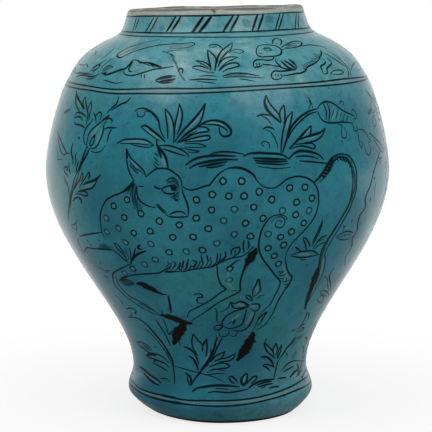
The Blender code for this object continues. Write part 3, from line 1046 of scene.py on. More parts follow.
HARE = {LINE: (
    ((257.9, 46.2), (261.9, 44.9), (271.9, 45.2), (277.9, 46.9), (281, 49.6), (281, 53.6), (277.9, 55.6),
     (272.6, 56.3), (267, 56.6), (261.9, 56.9), (257.9, 55.6), (256.2, 52.2), (256.5, 48.9), (257.9, 46.2)),
    ((272.6, 44), (272.4, 41.4), (273.6, 39.4), (276.6, 38.3), (280, 39.3), (281.4, 42.4), (280, 45)),
    ((281, 47.5), (285.3, 44.9), (290.7, 42.2), (296.7, 41.2), (301.4, 42.2), (300.7, 45.5), (294, 47.5),
     (288.7, 48.2), (282, 49.6)),
    ((301.4, 46.2), (308.8, 44.9), (315.5, 45.5), (322.8, 47), (326.7, 49.3)),
    ((273.9, 56.9), (272.6, 59.3), (267, 60.3), (261, 59.6), (256.5, 59.9), (253.5, 62.3), (253.5, 67)),
    ((272, 65), (264.6, 64.6), (262, 64.3)), ((253.8, 67.3), (257.9, 67), (262, 65.4)),
    ((274.6, 58.9), (276.6, 62.9), (280.6, 66), (272, 65.6)),
    ((288, 58.9), (292, 62.3), (296, 65.6), (297, 67.3)),
    ((297, 67.6), (294, 69.6), (287, 70.7), (279, 71.3), (274.6, 71), (272, 73), (271.3, 76.3), (273.3, 79),
     (279.3, 79), (282, 77)),
    ((282, 76), (288.7, 75), (295.4, 73.7), (302, 72.7), (305.4, 70.3), (307.4, 67), (314, 63.6),
     (318, 60.3), (320, 57.6)),
    ((320.4, 50), (321.2, 54), (318.8, 58)),
    ((322, 58), (325.2, 61.3), (324.4, 63.7), (320.4, 66.9), (322, 70), (322.8, 73.3)),
    ((326.7, 58), (331.5, 62.9), (329, 66), (326.7, 69.3), (327.5, 72.5), (325.2, 74), (322.8, 73.4)),
    ((264, 48.9), (267.4, 48.7), (270.6, 49.6)), ((277, 65.9), (285.4, 68.8), (295.2, 70.2)),
), FINE: (
    ((262.5, 49.2), (265.6, 47.2), (269.6, 47.8), (271.8, 49.9), (267.2, 50.8), (262.5, 49.2)),
    ((256.4, 63), (257, 66)), ((259, 62.6), (259.6, 65.6)), ((275.5, 73.7), (275.5, 77)),
    ((278, 73.7), (278, 77)), ((281, 73.7), (281, 76.4)), ((283, 79.7), (284.2, 79.7)),
    ((258.4, 53), (262, 53.8)), ((286, 46), (292, 44), (298.6, 43.2)),
    ((284.6, 48), (290.6, 46), (297, 45.6)), ((284, 60.4), (289, 64.4), (293.6, 68.6)),
    ((282.6, 63), (287, 66.6), (290.6, 69.4)),
), DOT: (
    ((275.8, 43.4), (277.4, 43.6)),
), WASH: (
    ((286, 46.6), (293, 44.4), (299, 43.6)), ((261, 54), (268, 54), (275, 53)),
), BOLD: (
    ((284, 60.3), (292.4, 65.9), (296.6, 68.8)), ((288.2, 58.9), (293.8, 63.1), (296.6, 66.6)),
    ((280.5, 61), (288.2, 67.3), (295.2, 70.2)),
)}
HARE_FRINGE = (((305.4, 69.5), (307.6, 66.6), (314, 63), (318, 60), (320.4, 56)), 13, (-4.2, -2.6))

FRIEZE_BRANCH = {LINE: (
    ((322.8, 52.5), (330.7, 56.5), (338.7, 62), (346, 66.9), (348, 71), (348.3, 77.3)),
    ((326.7, 50), (334.7, 55), (342.7, 62), (349, 68.5), (350.7, 76.5)),
), FINE: (
    ((330, 74), (333, 71), (339.5, 70), (343.5, 71.7), (341, 74), (330, 74)),
    ((350.7, 70), (352.3, 65.3), (357, 63), (360, 67), (358.6, 71)),
), WASH: (
    ((328, 53.4), (337, 58.8), (345, 65.6), (349, 74)),
)}

ANIMAL = {LINE: (
    ((145.8, 177), (150.6, 173), (156.2, 169), (161.7, 168.3), (168, 169), (174.5, 173), (179.3, 177),
     (181.7, 181.8), (182, 186.6)),
    ((181.7, 187.4), (183, 193), (185.2, 198.5), (187.6, 205), (188.6, 210), (188.2, 216.4)),
    ((137, 186), (137, 193), (139.4, 200), (144.2, 204), (150.6, 206.6), (156, 207.6)),
    ((166, 214), (168, 216), (177.7, 217.3), (188, 216.5)),
    ((169.7, 214.5), (176, 211.7), (182.5, 212), (185.6, 214.5)),
    ((126.7, 148.3), (126.5, 155), (127.2, 162.6), (128.8, 170), (131.5, 176.4), (134.4, 181.4)),
    ((127.2, 149.6), (129.9, 156.3), (134.8, 162), (140.4, 167), (144.4, 171.8), (145.8, 177)),
    ((133.4, 181), (128.2, 186.6), (122, 192.2), (113, 196), (106.7, 200), (102, 208), (100.4, 216),
     (100.8, 224), (102, 232), (104.6, 238.2)),
    ((112.6, 248.9), (118.6, 254.3), (124.6, 259.6), (130, 263)),
    ((182, 186.3), (190, 190), (205, 186.2), (209.8, 184.6), (213, 180.6), (217.8, 175), (224, 170.3),
     (229.7, 168)),
    ((256.8, 180.6), (260.8, 184.6), (265.6, 187.4), (271, 188.2), (276, 187.4), (280.7, 184.2),
     (285.5, 179.9), (291, 177.5), (299, 176.3), (305.4, 177.5), (310.2, 179.9), (314.2, 183),
     (317.4, 189.4), (318.6, 199), (317.4, 208.5), (314.2, 217.3), (309.4, 224.5), (303, 231.7),
     (296.7, 238), (291, 244.4), (287, 251.6), (285.3, 258), (285.5, 262.3)),
    ((285.5, 262.3), (288, 272), (292, 277.5), (289.5, 283), (284.7, 290), (280, 297.4), (276.7, 303.8),
     (273.5, 311.7), (268.8, 319.7), (263, 326), (256, 330)),
    ((287, 219.7), (285.5, 216.5), (280, 215), (275, 215.3), (270.4, 217.7), (266.4, 222), (262.4, 228.5),
     (260, 235.7), (258.8, 242.8), (259.2, 250.4), (262.4, 258.3), (268.8, 267), (275, 275), (280, 281.5),
     (279, 287), (275, 295), (270.4, 303.8), (264, 310), (259, 316.5), (256, 324.5), (252, 331)),
    ((217, 264.7), (217.4, 272), (218.6, 279), (221.7, 285.4), (225.7, 289), (219.3, 293.4), (211.6, 299.4),
     (203.6, 304.2), (194, 309), (189.3, 312), (187, 317.8)),
    ((256.8, 248), (249.6, 259), (244, 270.3), (241, 278.3), (240, 286), (240, 291), (235.3, 294),
     (225, 299), (215.4, 304.5), (206, 311.4), (197.3, 317), (191, 321)),
    ((127, 276.6), (135.4, 274.6), (144, 274), (152, 273.6), (160, 272.6), (166, 269), (170, 266.7)),
    ((176, 271.5), (183.7, 271.5), (190, 270), (195.6, 269), (203.6, 268), (211.6, 266.7), (218.8, 263.5),
     (228, 259), (243.6, 255.3), (253.8, 246.4)),
    ((132, 263.4), (125.3, 266.4), (118.6, 269.8), (113.3, 273.4), (112.8, 278), (114.6, 283.8),
     (118.6, 289.1), (124, 294.8), (132, 301), (141.5, 307.4), (151, 312.2), (161.4, 316.2)),
    ((115.4, 275.8), (116.8, 280), (118.8, 284.6), (123.4, 290), (128, 295), (134.3, 298.6), (143, 303.2),
     (150, 307.8), (159.8, 314.6)),
    ((314.9, 180.6), (320.1, 176.3), (326.1, 167.7), (329.5, 159.9), (334.7, 155.6), (342.5, 153.9),
     (349.3, 156.5), (353.6, 162.5), (356.2, 170.2), (356.7, 181.4), (355.4, 193.5), (352.9, 200),
     (350.4, 207), (344.6, 218.5), (338.3, 229.3), (331.9, 239.5), (326.8, 248.5), (324.9, 254.2),
     (324.9, 260.6), (323.9, 268.2), (321.7, 275.3), (317.9, 283.5), (312.8, 293.8), (308, 302),
     (304.6, 310)),
    ((319.2, 182.7), (325.2, 176.3), (330.4, 169.4), (333.8, 161.6), (339, 157.3), (345.9, 158.2),
     (350.2, 164.2), (351.9, 172), (352.8, 182.3), (351.5, 194.3), (347.2, 208.3), (341.5, 217.2),
     (335.7, 227.4), (328.7, 238.3), (323.6, 245.9), (321, 252.3), (319.8, 258.7), (317.9, 267),
     (314, 277.8), (309.6, 288), (305.6, 299), (304.2, 309)),
    ((180.5, 262), (179, 270)), ((183.7, 260.4), (181.3, 270.7)), ((188.5, 258.8), (186, 270)),
    ((201, 254.8), (202.8, 264.4)), ((206.8, 254.8), (208.4, 262)), ((217.8, 252.8), (217, 261.5)),
    ((225, 251), (225.7, 256), (223.3, 259), (217, 263)),
    ((231.3, 255), (232, 249.6), (239.3, 247.2), (239.3, 252), (236, 255), (231, 258.3)),
    ((244, 240), (243.3, 246.4), (244, 252.8)), ((248, 240), (248.8, 246.4), (247.3, 249.6)),
    ((191.7, 260.4), (196.5, 262), (194, 266), (190, 266.7)), ((228, 268), (237, 260.7), (241, 260)),
    ((194, 294.6), (200.4, 293.8), (202.8, 297), (198, 297.8), (197.3, 301.8), (204.4, 304.2)),
    ((256, 323), (260.8, 316.5), (267.2, 311.7), (264, 316.5), (260.8, 322), (257, 326)),
    ((156.2, 204.1), (160.2, 208.9), (165.7, 213.7)),
    ((161.5, 189.6), (164.5, 187.2), (168.9, 185.9), (174, 185.9), (176.9, 188.1)),
    ((161.5, 189.6), (164.5, 192.5), (170.3, 194), (175.5, 192.5)),
    ((153.8, 185.9), (157.1, 188.1), (161.5, 188.7)),
    ((113.9, 242.9), (117.3, 244.2), (120.6, 248.3), (125.3, 254.3)),
    ((114.4, 243.6), (117.3, 248.3), (122.6, 253.6), (128, 261)), ((135.4, 248.3), (134, 255), (130.7, 261)),
    ((321.6, 175.6), (326.6, 177)), ((323.6, 172.4), (328.6, 174)), ((325.6, 169.2), (330.6, 171)),
    ((327, 166), (332, 168)), ((328.4, 163), (333, 164.6)), ((330, 160), (334.2, 161.8)),
    ((331.3, 158.9), (335.3, 161.2)), ((335.8, 157.2), (338.1, 160.6)), ((339.3, 157.2), (341.6, 160.6)),
    ((342.7, 157.2), (344.4, 161.8)), ((346.1, 158.9), (346.1, 162.9)), ((348.4, 160.6), (347.9, 164.1)),
    ((350.2, 162.9), (349.6, 167.5)), ((121.6, 281.6), (127, 279.6), (134.4, 282.6)),
    ((122.6, 282.6), (128, 284), (134.4, 283.4)), ((98, 248), (104.6, 248.6), (112, 249.8)),
), BOLD: (
    ((228, 168.2), (237, 167.5), (244, 169), (249.6, 172), (253.6, 175), (257, 180.6)),
    ((168.2, 295.4), (170, 304), (171, 313)),
    ((156.8, 139), (157.1, 144.9), (161.5, 150.7), (165.2, 155.9), (166.9, 161), (168.3, 168.6)),
    ((164.6, 272), (170, 271.8), (177, 271.5)), ((126.7, 148.4), (126.8, 153), (127.6, 158.4)),
    ((119.3, 280.6), (123, 278.2), (128, 276.2)),
    ((146.1, 250.9), (138.7, 253.6), (134, 257.6), (130.7, 263)), ((140.2, 244.4), (138, 248.3), (142, 249)),
    ((134.4, 182.6), (128.6, 188.4), (123, 192.4)), ((157.4, 146.6), (159.4, 152), (161.6, 158.4)),
    ((341.5, 217.2), (335.7, 227.4), (328.7, 238.3), (323.6, 245.9)),
    ((314.3, 182.2), (319, 177.6), (324, 170.5), (328.4, 162.5), (333.4, 157.6)),
    ((320.4, 174.4), (324.4, 177.2)), ((322.1, 172.1), (326.7, 174.4)), ((324.4, 169.2), (329.5, 172.1)),
    ((326.1, 166.4), (331.3, 169.8)), ((327.2, 163.5), (333, 165.8)), ((329, 161.2), (334.1, 162.9)),
    ((119.4, 280.4), (124.6, 277.2), (127.6, 276)),
), FINE: (
    ((157.8, 203.6), (161.8, 208.1), (166.6, 212.6)),
    ((129.1, 160.3), (134.6, 167.5), (141, 171.5), (144.2, 174.6)),
    ((129.6, 164.6), (134, 170), (138.6, 174)), ((154.6, 152.9), (158.6, 156.6)),
    ((153.8, 157.3), (158.6, 161.7)), ((154.2, 161.7), (159.3, 165.4)), ((153.5, 164.7), (157.9, 168.3)),
    ((133.8, 181.8), (129.9, 189), (127.4, 193.6)), ((135.4, 183.4), (132.3, 193), (133, 203)),
    ((136.4, 184.6), (135.4, 195.4), (136.2, 206)), ((138.6, 186), (144.2, 186.6)),
    ((124.6, 247.6), (127.3, 254.3), (129.3, 259.6)), ((129.3, 247.6), (130.7, 254.3), (130.6, 260)),
    ((120, 281), (126, 281.6), (135, 284)), ((120, 282.4), (127, 285.4), (134.6, 284.8)),
    ((182, 335), (179, 341), (180.6, 346)), ((210.8, 257.2), (210, 262)), ((221, 252.8), (220, 260)),
    ((235.7, 249.6), (234.5, 255)), ((167, 261.2), (169.4, 263.6), (166, 266.7)),
    ((172, 261), (176.5, 265), (174, 267)), ((232, 290.6), (237, 290.2)), ((279, 274), (284, 272)),
    ((287, 277.5), (284.7, 283)), ((161.4, 310.6), (163, 314.6)),
    ((168.6, 334.5), (171.8, 331.3), (174, 329.7)), ((172.9, 195), (178.5, 196.8)),
    ((169.7, 197), (177.7, 199.4)), ((174, 200), (179, 201.6)),
    ((165.7, 181), (172.1, 177.4), (176.9, 179.4)), ((166.5, 183.4), (173.7, 181), (178.9, 184.6)),
    ((134.6, 184), (131, 191), (130.6, 197)), ((136, 190), (134, 200), (134.6, 209)),
    ((137.6, 196), (137, 204), (138.4, 212)), ((98.4, 245), (104, 246.4), (110.6, 248.6)),
    ((103, 243), (108, 246)), ((100.6, 243.4), (105, 245.6)),
    ((167.6, 180.4), (171, 178.2), (175.4, 179.4), (178.6, 183)),
    ((168.8, 183), (172.4, 181), (176.4, 182.6), (179.4, 187)), ((171, 186), (174.6, 184.6), (178.4, 188.6)),
    ((172.6, 193.6), (176, 194.2), (179.4, 192.6)), ((171.6, 196), (175.6, 197), (179, 196)),
    ((174, 199), (177, 200), (179.6, 199)), ((316.6, 268), (311.6, 281)), ((320.6, 262), (316, 275)),
    ((313, 281), (307.4, 295)),
), HEAVY: (
    ((170.6, 186.8), (173.6, 188.6), (176.6, 190)),
    ((314, 281), (309.8, 292.6), (306.6, 302.6), (305.4, 309.4)),
), HOOF: (
    ((253, 332), (250, 341), (245.5, 349), (237, 361)),
    ((184.5, 321.4), (181, 328.5), (177, 335.5), (173.6, 345)),
), NARROW_HOOF: (
    ((160.4, 315), (168, 316.6), (177, 319.6), (184, 322), (192.5, 323.5)),
), SHADE: (
    ((138, 303), (146, 306.4), (153, 310.4)), ((166.6, 181), (172, 183), (177, 190), (178.4, 198)),
    ((171, 178.4), (176.4, 182), (179.4, 190)), ((130.6, 162.6), (134.6, 169), (139.6, 173.6)),
    ((138.6, 203), (140.6, 208), (141.4, 213)), ((256, 250), (249, 262), (242.6, 274)),
    ((134, 196), (136, 204), (138, 212)), ((134.4, 186), (133.4, 195), (134.8, 205)),
    ((99, 248), (106, 246.6), (113, 248)), ((122.6, 281.6), (128, 281.2), (133.6, 283)),
), WASH: (
    ((354.4, 172), (354, 186), (350, 202), (343, 216), (334, 229)), ((131, 157), (136, 168), (140.6, 174)),
    ((160, 156), (164, 162), (165, 168)), ((283, 266), (286, 276), (283, 288)),
    ((228, 268), (228, 282), (234, 290)), ((327, 246), (323.6, 262), (319, 279), (312, 292)),
), PLUME: (
    ((136.7, 284), (142, 284.2), (151, 288.4), (160, 293), (167, 295)),
    ((256.4, 248), (252.6, 254.6), (248, 262.4), (242.4, 271.4)),
    ((318.2, 268), (315, 279), (311, 289), (307.6, 297)),
), TAIL: (
    ((327.8, 162.9), (333.5, 158.3), (340.4, 156.6), (347.3, 159.5), (351.9, 167.5), (354.7, 177.8),
     (354.7, 185.8), (352.4, 195), (348.4, 205.3), (342.7, 215.6), (335.8, 227.1), (329, 237.4),
     (324.4, 247.7), (321.5, 254.6), (319.8, 263.8), (318.1, 271.8), (314.6, 280.9), (311.2, 289),
     (307.8, 295.8), (305.5, 303.9), (304.7, 309.6)),
)}
ANIMAL_SPIRAL = ((279.1, 223.3), 1.2, 5.4)
ANIMAL_FRINGES = (
    (((166, 271), (183.7, 271.5), (203.6, 268), (216, 264.6)), 13, (5.5, -9)),
    (((277, 272), (284, 287)), 6, (7, -1.4)),
    (((337, 155.6), (351, 159.4)), 7, (1.4, 5)),
)
DARK_SPOTS = (
    (127.1, 199.8), (113.9, 206.1), (124.3, 217.5), (141, 213.7), (159.4, 221.1), (179.3, 225.1),
    (196.4, 218.1), (196.4, 199.8), (212.4, 194.7), (211.6, 209.8), (133.8, 233.2), (193.2, 237.1),
    (172.9, 237.6), (202.4, 250.4), (208.4, 228.7), (150.2, 231.1), (223.3, 181.1), (241.7, 181),
    (228.9, 196), (244.2, 196), (259.2, 191.8), (271.8, 199.6), (289.5, 188), (305, 187.3), (311.8, 198.2),
    (296.5, 202.2), (253.8, 207.2), (295.7, 214.7), (245.3, 223.3), (263, 218.1), (303.7, 223.1),
    (291.5, 231.9), (283.5, 245), (268, 248), (274, 255.8), (278.3, 264), (133, 268.7), (169, 252.3),
    (229.7, 268.7), (250.4, 236.3), (280.6, 237.1),
)
LIGHT_SPOTS = (
    (106.3, 218.1), (118.7, 228.3), (107.1, 232), (125.6, 242.4), (151, 244), (186.3, 251.6),
    (155.4, 259.6), (144.6, 264.3), (124.7, 273), (309, 210.5), (234.3, 209.2), (282.3, 211),
    (223.7, 220.4), (234.3, 234.3), (217, 243.5), (268, 233.9), (229.3, 279.9),
)

MIDDLE_TUFT = {LINE: (
    ((134.8, 111.5), (137.3, 109.3), (143.2, 108.2), (149.1, 110.4), (154.2, 114.1), (157.9, 118.5),
     (159.3, 124.3), (160.4, 130.2), (164.5, 138.3)),
    ((165.2, 108.6), (165.9, 117), (167.4, 126.5), (167.8, 139)),
    ((165.2, 108.6), (169.6, 114.1), (172.5, 120.7), (174, 128), (174, 136)),
    ((179.5, 103.4), (177.7, 114.1), (175.5, 122.9), (174.4, 133.1), (173.6, 143.4)),
    ((179.5, 103.4), (182.4, 114.1), (181.3, 122.9), (179.1, 130.2), (176.9, 134.6)),
    ((205.5, 103.1), (203.3, 113.3), (199.7, 122.9), (194.5, 128), (185.7, 133.9), (178.4, 141.9)),
    ((203.3, 124.3), (210.7, 124.3), (218, 125.1), (223.1, 127.3), (227.5, 130.9), (226.8, 132.8)),
    ((198.2, 126.9), (205.5, 127.3), (209.2, 130.2), (207, 131.7), (199.7, 132.4), (193.1, 134.6),
     (185.7, 138.3), (176.9, 143.4)),
    ((198.2, 127.3), (192.3, 130.2), (184.3, 136.1), (177.7, 141.9)),
    ((176.9, 142.7), (185.7, 140.5), (194.5, 137.9), (203.3, 136.1), (209.2, 135.7), (210.3, 137.5),
     (208.5, 139.4), (200.4, 140.8), (191.6, 141.2), (184.3, 141.9)),
    ((117, 143.5), (124.3, 139.6), (130, 139.2), (137.3, 139), (144.7, 139.7), (150.5, 142.7),
     (154.2, 145.6)),
    ((159.3, 145.6), (168.1, 145.6), (176.9, 147.8), (184.3, 151.5), (187.9, 154.4), (189, 157.3)),
    ((163, 148.9), (171.1, 151.5), (179.9, 154.4), (185.7, 155.9)),
    ((209.2, 155.1), (212.9, 153.3), (221.7, 151.8), (232.7, 152.2), (244.4, 154.4)),
    ((206.3, 167.6), (214.3, 167.2), (225.3, 164.7)),
), BOLD: (
    ((141, 126.9), (144.7, 125.4), (152, 130.2), (159.3, 136.1), (165.6, 141.9)),
    ((205.5, 103.1), (201.1, 110.4), (196, 117), (187.2, 126.5), (179.9, 134.6), (174.7, 141.9)),
    ((198.2, 126.9), (203.3, 123.2), (210.7, 120.7), (218.7, 121), (226.1, 124.3), (230.5, 129.5),
     (230.8, 133.9), (227.5, 136.1), (222.4, 136.1), (219.8, 132.4), (219.1, 127.3)),
    ((185.4, 165.4), (192.3, 160.3), (200.4, 157.3), (209.2, 155.9), (218, 155.5), (235.6, 156.2)),
    ((189.4, 168.3), (196, 164.7), (203.3, 162.5), (214.3, 160.6), (225.3, 159.5), (237.8, 159.9)),
    ((198.9, 166.9), (206.3, 165.4), (216.5, 163.6), (227.5, 161.7)),
), FINE: (
    ((138, 111.1), (137, 114.1), (138.8, 116.6), (142.5, 116.6), (144.7, 114.4), (144.7, 111.1)),
    ((144.7, 110.8), (150.5, 112.2), (154.5, 116.4), (157.5, 121)),
    ((141.4, 127.3), (146.9, 131.7), (153.5, 136.8), (160, 141)),
    ((184.3, 143.8), (193.1, 143.4), (200.4, 144.1), (205.9, 146.3), (200.4, 147.4), (190.9, 147.1),
     (184.3, 147.1)),
    ((179.9, 147.8), (187.9, 149.3), (194.5, 150.4), (199.7, 151.5), (194.5, 152.6), (187.2, 151.8)),
    ((120, 143.6), (130, 143.4), (138.8, 143.8), (148.3, 144.9), (153.5, 145.6)),
    ((130.7, 144.5), (138.8, 146.3), (148.3, 147.4), (152.7, 146.3)),
    ((185, 139.4), (190, 136.4), (195, 133.4)), ((186, 136.6), (191, 134), (197, 131)),
), WASH: (
    ((168, 113), (170.6, 122), (171.4, 134)), ((180, 108), (178.6, 119), (175.6, 131)),
    ((203, 107), (199, 116.4), (191, 125), (183, 132.4)), ((187, 137.4), (197, 132), (206, 129)),
    ((187, 141), (198, 138.6), (207, 137.6)), ((206, 123.4), (215, 122.4), (224, 125.6)),
    ((124, 142), (134, 141), (148, 142.6)), ((145, 127.6), (152, 133), (160, 138.6)),
)}

RIGHT_TUFT = {LINE: (
    ((266.1, 95.3), (268.4, 101.4), (272.7, 107.4), (277.9, 113.4), (280.5, 118.6)),
    ((283.9, 104.8), (280, 110.8), (279.6, 115.1), (281.3, 122)),
    ((283.9, 104.8), (284.8, 112.6), (284.3, 122), (283.5, 123.7)),
    ((292.3, 111.3), (287.4, 116.9), (285.6, 121.2), (283, 131.5), (281.3, 143.5), (280.9, 153)),
    ((292.3, 111.3), (290.8, 121.2), (289.1, 128), (286.5, 136.7)),
    ((256.4, 116.4), (261.5, 114.7), (269.3, 115.1), (271.9, 116)),
    ((262.8, 129.3), (266.7, 127.2), (271.9, 128), (274.4, 129.8)),
    ((288.2, 138.4), (292.5, 129.8), (300.3, 121.2), (308.9, 114.3), (316.6, 111.7)),
    ((317.1, 109.1), (320.1, 104.4), (325.2, 101.8), (331.3, 102.6), (337.3, 106.5), (345, 111.7),
     (354.5, 116)),
    ((317.5, 111.4), (320.1, 117.7), (324.4, 121.6), (333, 122.9), (343.3, 122), (352.8, 123.3)),
    ((323.1, 103.5), (326.1, 110.8), (326.1, 120.3)), ((327, 103.5), (329.5, 110.8), (328.7, 121.2)),
    ((311, 125.5), (310.6, 133.2), (308, 136.7)),
    ((325.2, 128.5), (321.8, 135.8), (316.6, 140.1), (307.2, 142.7), (296, 144.4)),
    ((295.1, 144.4), (303.7, 143.5), (312.3, 143.5), (315.3, 146.1), (313.6, 148.7), (308, 147),
     (299.4, 146.1), (289.9, 149.1)),
    ((295.1, 156.9), (303.7, 156), (312.3, 156.9), (318.3, 159)),
    ((299.4, 160.8), (308.9, 161.6), (327, 163.3)),
    ((255.6, 163), (266, 163.8), (280, 164.4), (288.6, 163.4)),
), BOLD: (
    ((266.1, 95.3), (264.5, 101.4), (266.3, 108.2), (271.9, 115.1), (277.9, 120.3), (280.9, 122.9)),
    ((282.2, 153), (286.5, 140.1), (290.8, 128), (298.5, 118.6), (308, 111.7), (316.6, 108.7)),
    ((311, 125.5), (303.7, 133.2), (296.8, 141), (289.1, 148.7)),
    ((325.2, 128.5), (320.1, 132.4), (311.5, 135.4), (302, 138.4), (299.4, 140.1)),
    ((243.4, 156.5), (248.6, 153.9), (257.2, 153), (267.6, 153.4), (280.5, 154.3), (285.6, 156.5),
     (289.5, 159.5)),
    ((252.9, 158.2), (265.8, 158.6), (286.5, 159.5)),
    ((289.1, 158.6), (293.4, 153.9), (300.3, 150.9), (307.2, 151.3), (315.8, 153.4), (320.9, 156.5),
     (323.5, 159.9)),
    ((254.6, 160.4), (264, 161.4), (276, 161.6), (287.6, 161.2)),
), FINE: (
    ((261.5, 115.6), (267.6, 119.4), (272.3, 125.5)),
    ((265, 129.8), (270.1, 131.5), (274.4, 137.5), (277, 144.4), (277.5, 148.7)),
    ((261.1, 144.4), (263.2, 141.8), (268.4, 142.7), (269.7, 148.7)), ((262, 144.4), (264.1, 146.6)),
    ((334.3, 107.8), (331.7, 116.9)), ((338.2, 109.4), (335.6, 119.4)), ((341.2, 111.7), (339, 120.3)),
    ((344.2, 113.6), (342.9, 121.2)), ((347.6, 115.6), (346.3, 121.2)),
    ((339.9, 104.8), (340.3, 101.4), (342.9, 101.8), (343.3, 106.5)),
    ((337.3, 124.2), (341.6, 125.5), (341.6, 133.2), (342.5, 137.5), (345.9, 137.5), (346.3, 133.2),
     (343.3, 126.3)),
    ((351.9, 114.3), (351.9, 109.1), (355.4, 111.7), (356.2, 117.7), (352.8, 119)),
    ((352.8, 123.7), (353.6, 129.8), (357.1, 130.6), (356.2, 125.5)),
    ((357.5, 128.9), (364, 130.6), (368.3, 137.5), (370.9, 141), (368.3, 142.7)),
    ((357.5, 129.8), (358.4, 138.4), (360.5, 147), (361.8, 147.8), (361.8, 141)),
    ((364, 144.4), (366.6, 153), (369.1, 155.2), (370.4, 148.7), (367.4, 140.1)),
    ((306.3, 97.1), (308.9, 98.8), (311.5, 103.9), (312.3, 108.2)),
    ((308.9, 99.6), (310.2, 103.9), (308.4, 109.1)),
    ((258.1, 166.4), (267.6, 167.7), (277.9, 168.5), (290.8, 167.2)),
), SHADE: (
    ((255.5, 161), (270, 161.4), (287, 161)),
), WASH: (
    ((266.4, 98), (268, 104), (275, 113)), ((282.4, 107), (281.6, 114), (283, 121)),
    ((290.6, 114), (288, 121), (286, 129)), ((333, 106), (334, 113), (332, 120)),
    ((340, 110.6), (340, 116), (338, 121)), ((298, 140), (304, 133.6), (310, 128.6)),
    ((304, 139.6), (312, 136.4), (321, 132.4)), ((262, 116), (267, 117.4), (271, 122)),
    ((290, 132), (296, 124), (305, 115)),
)}

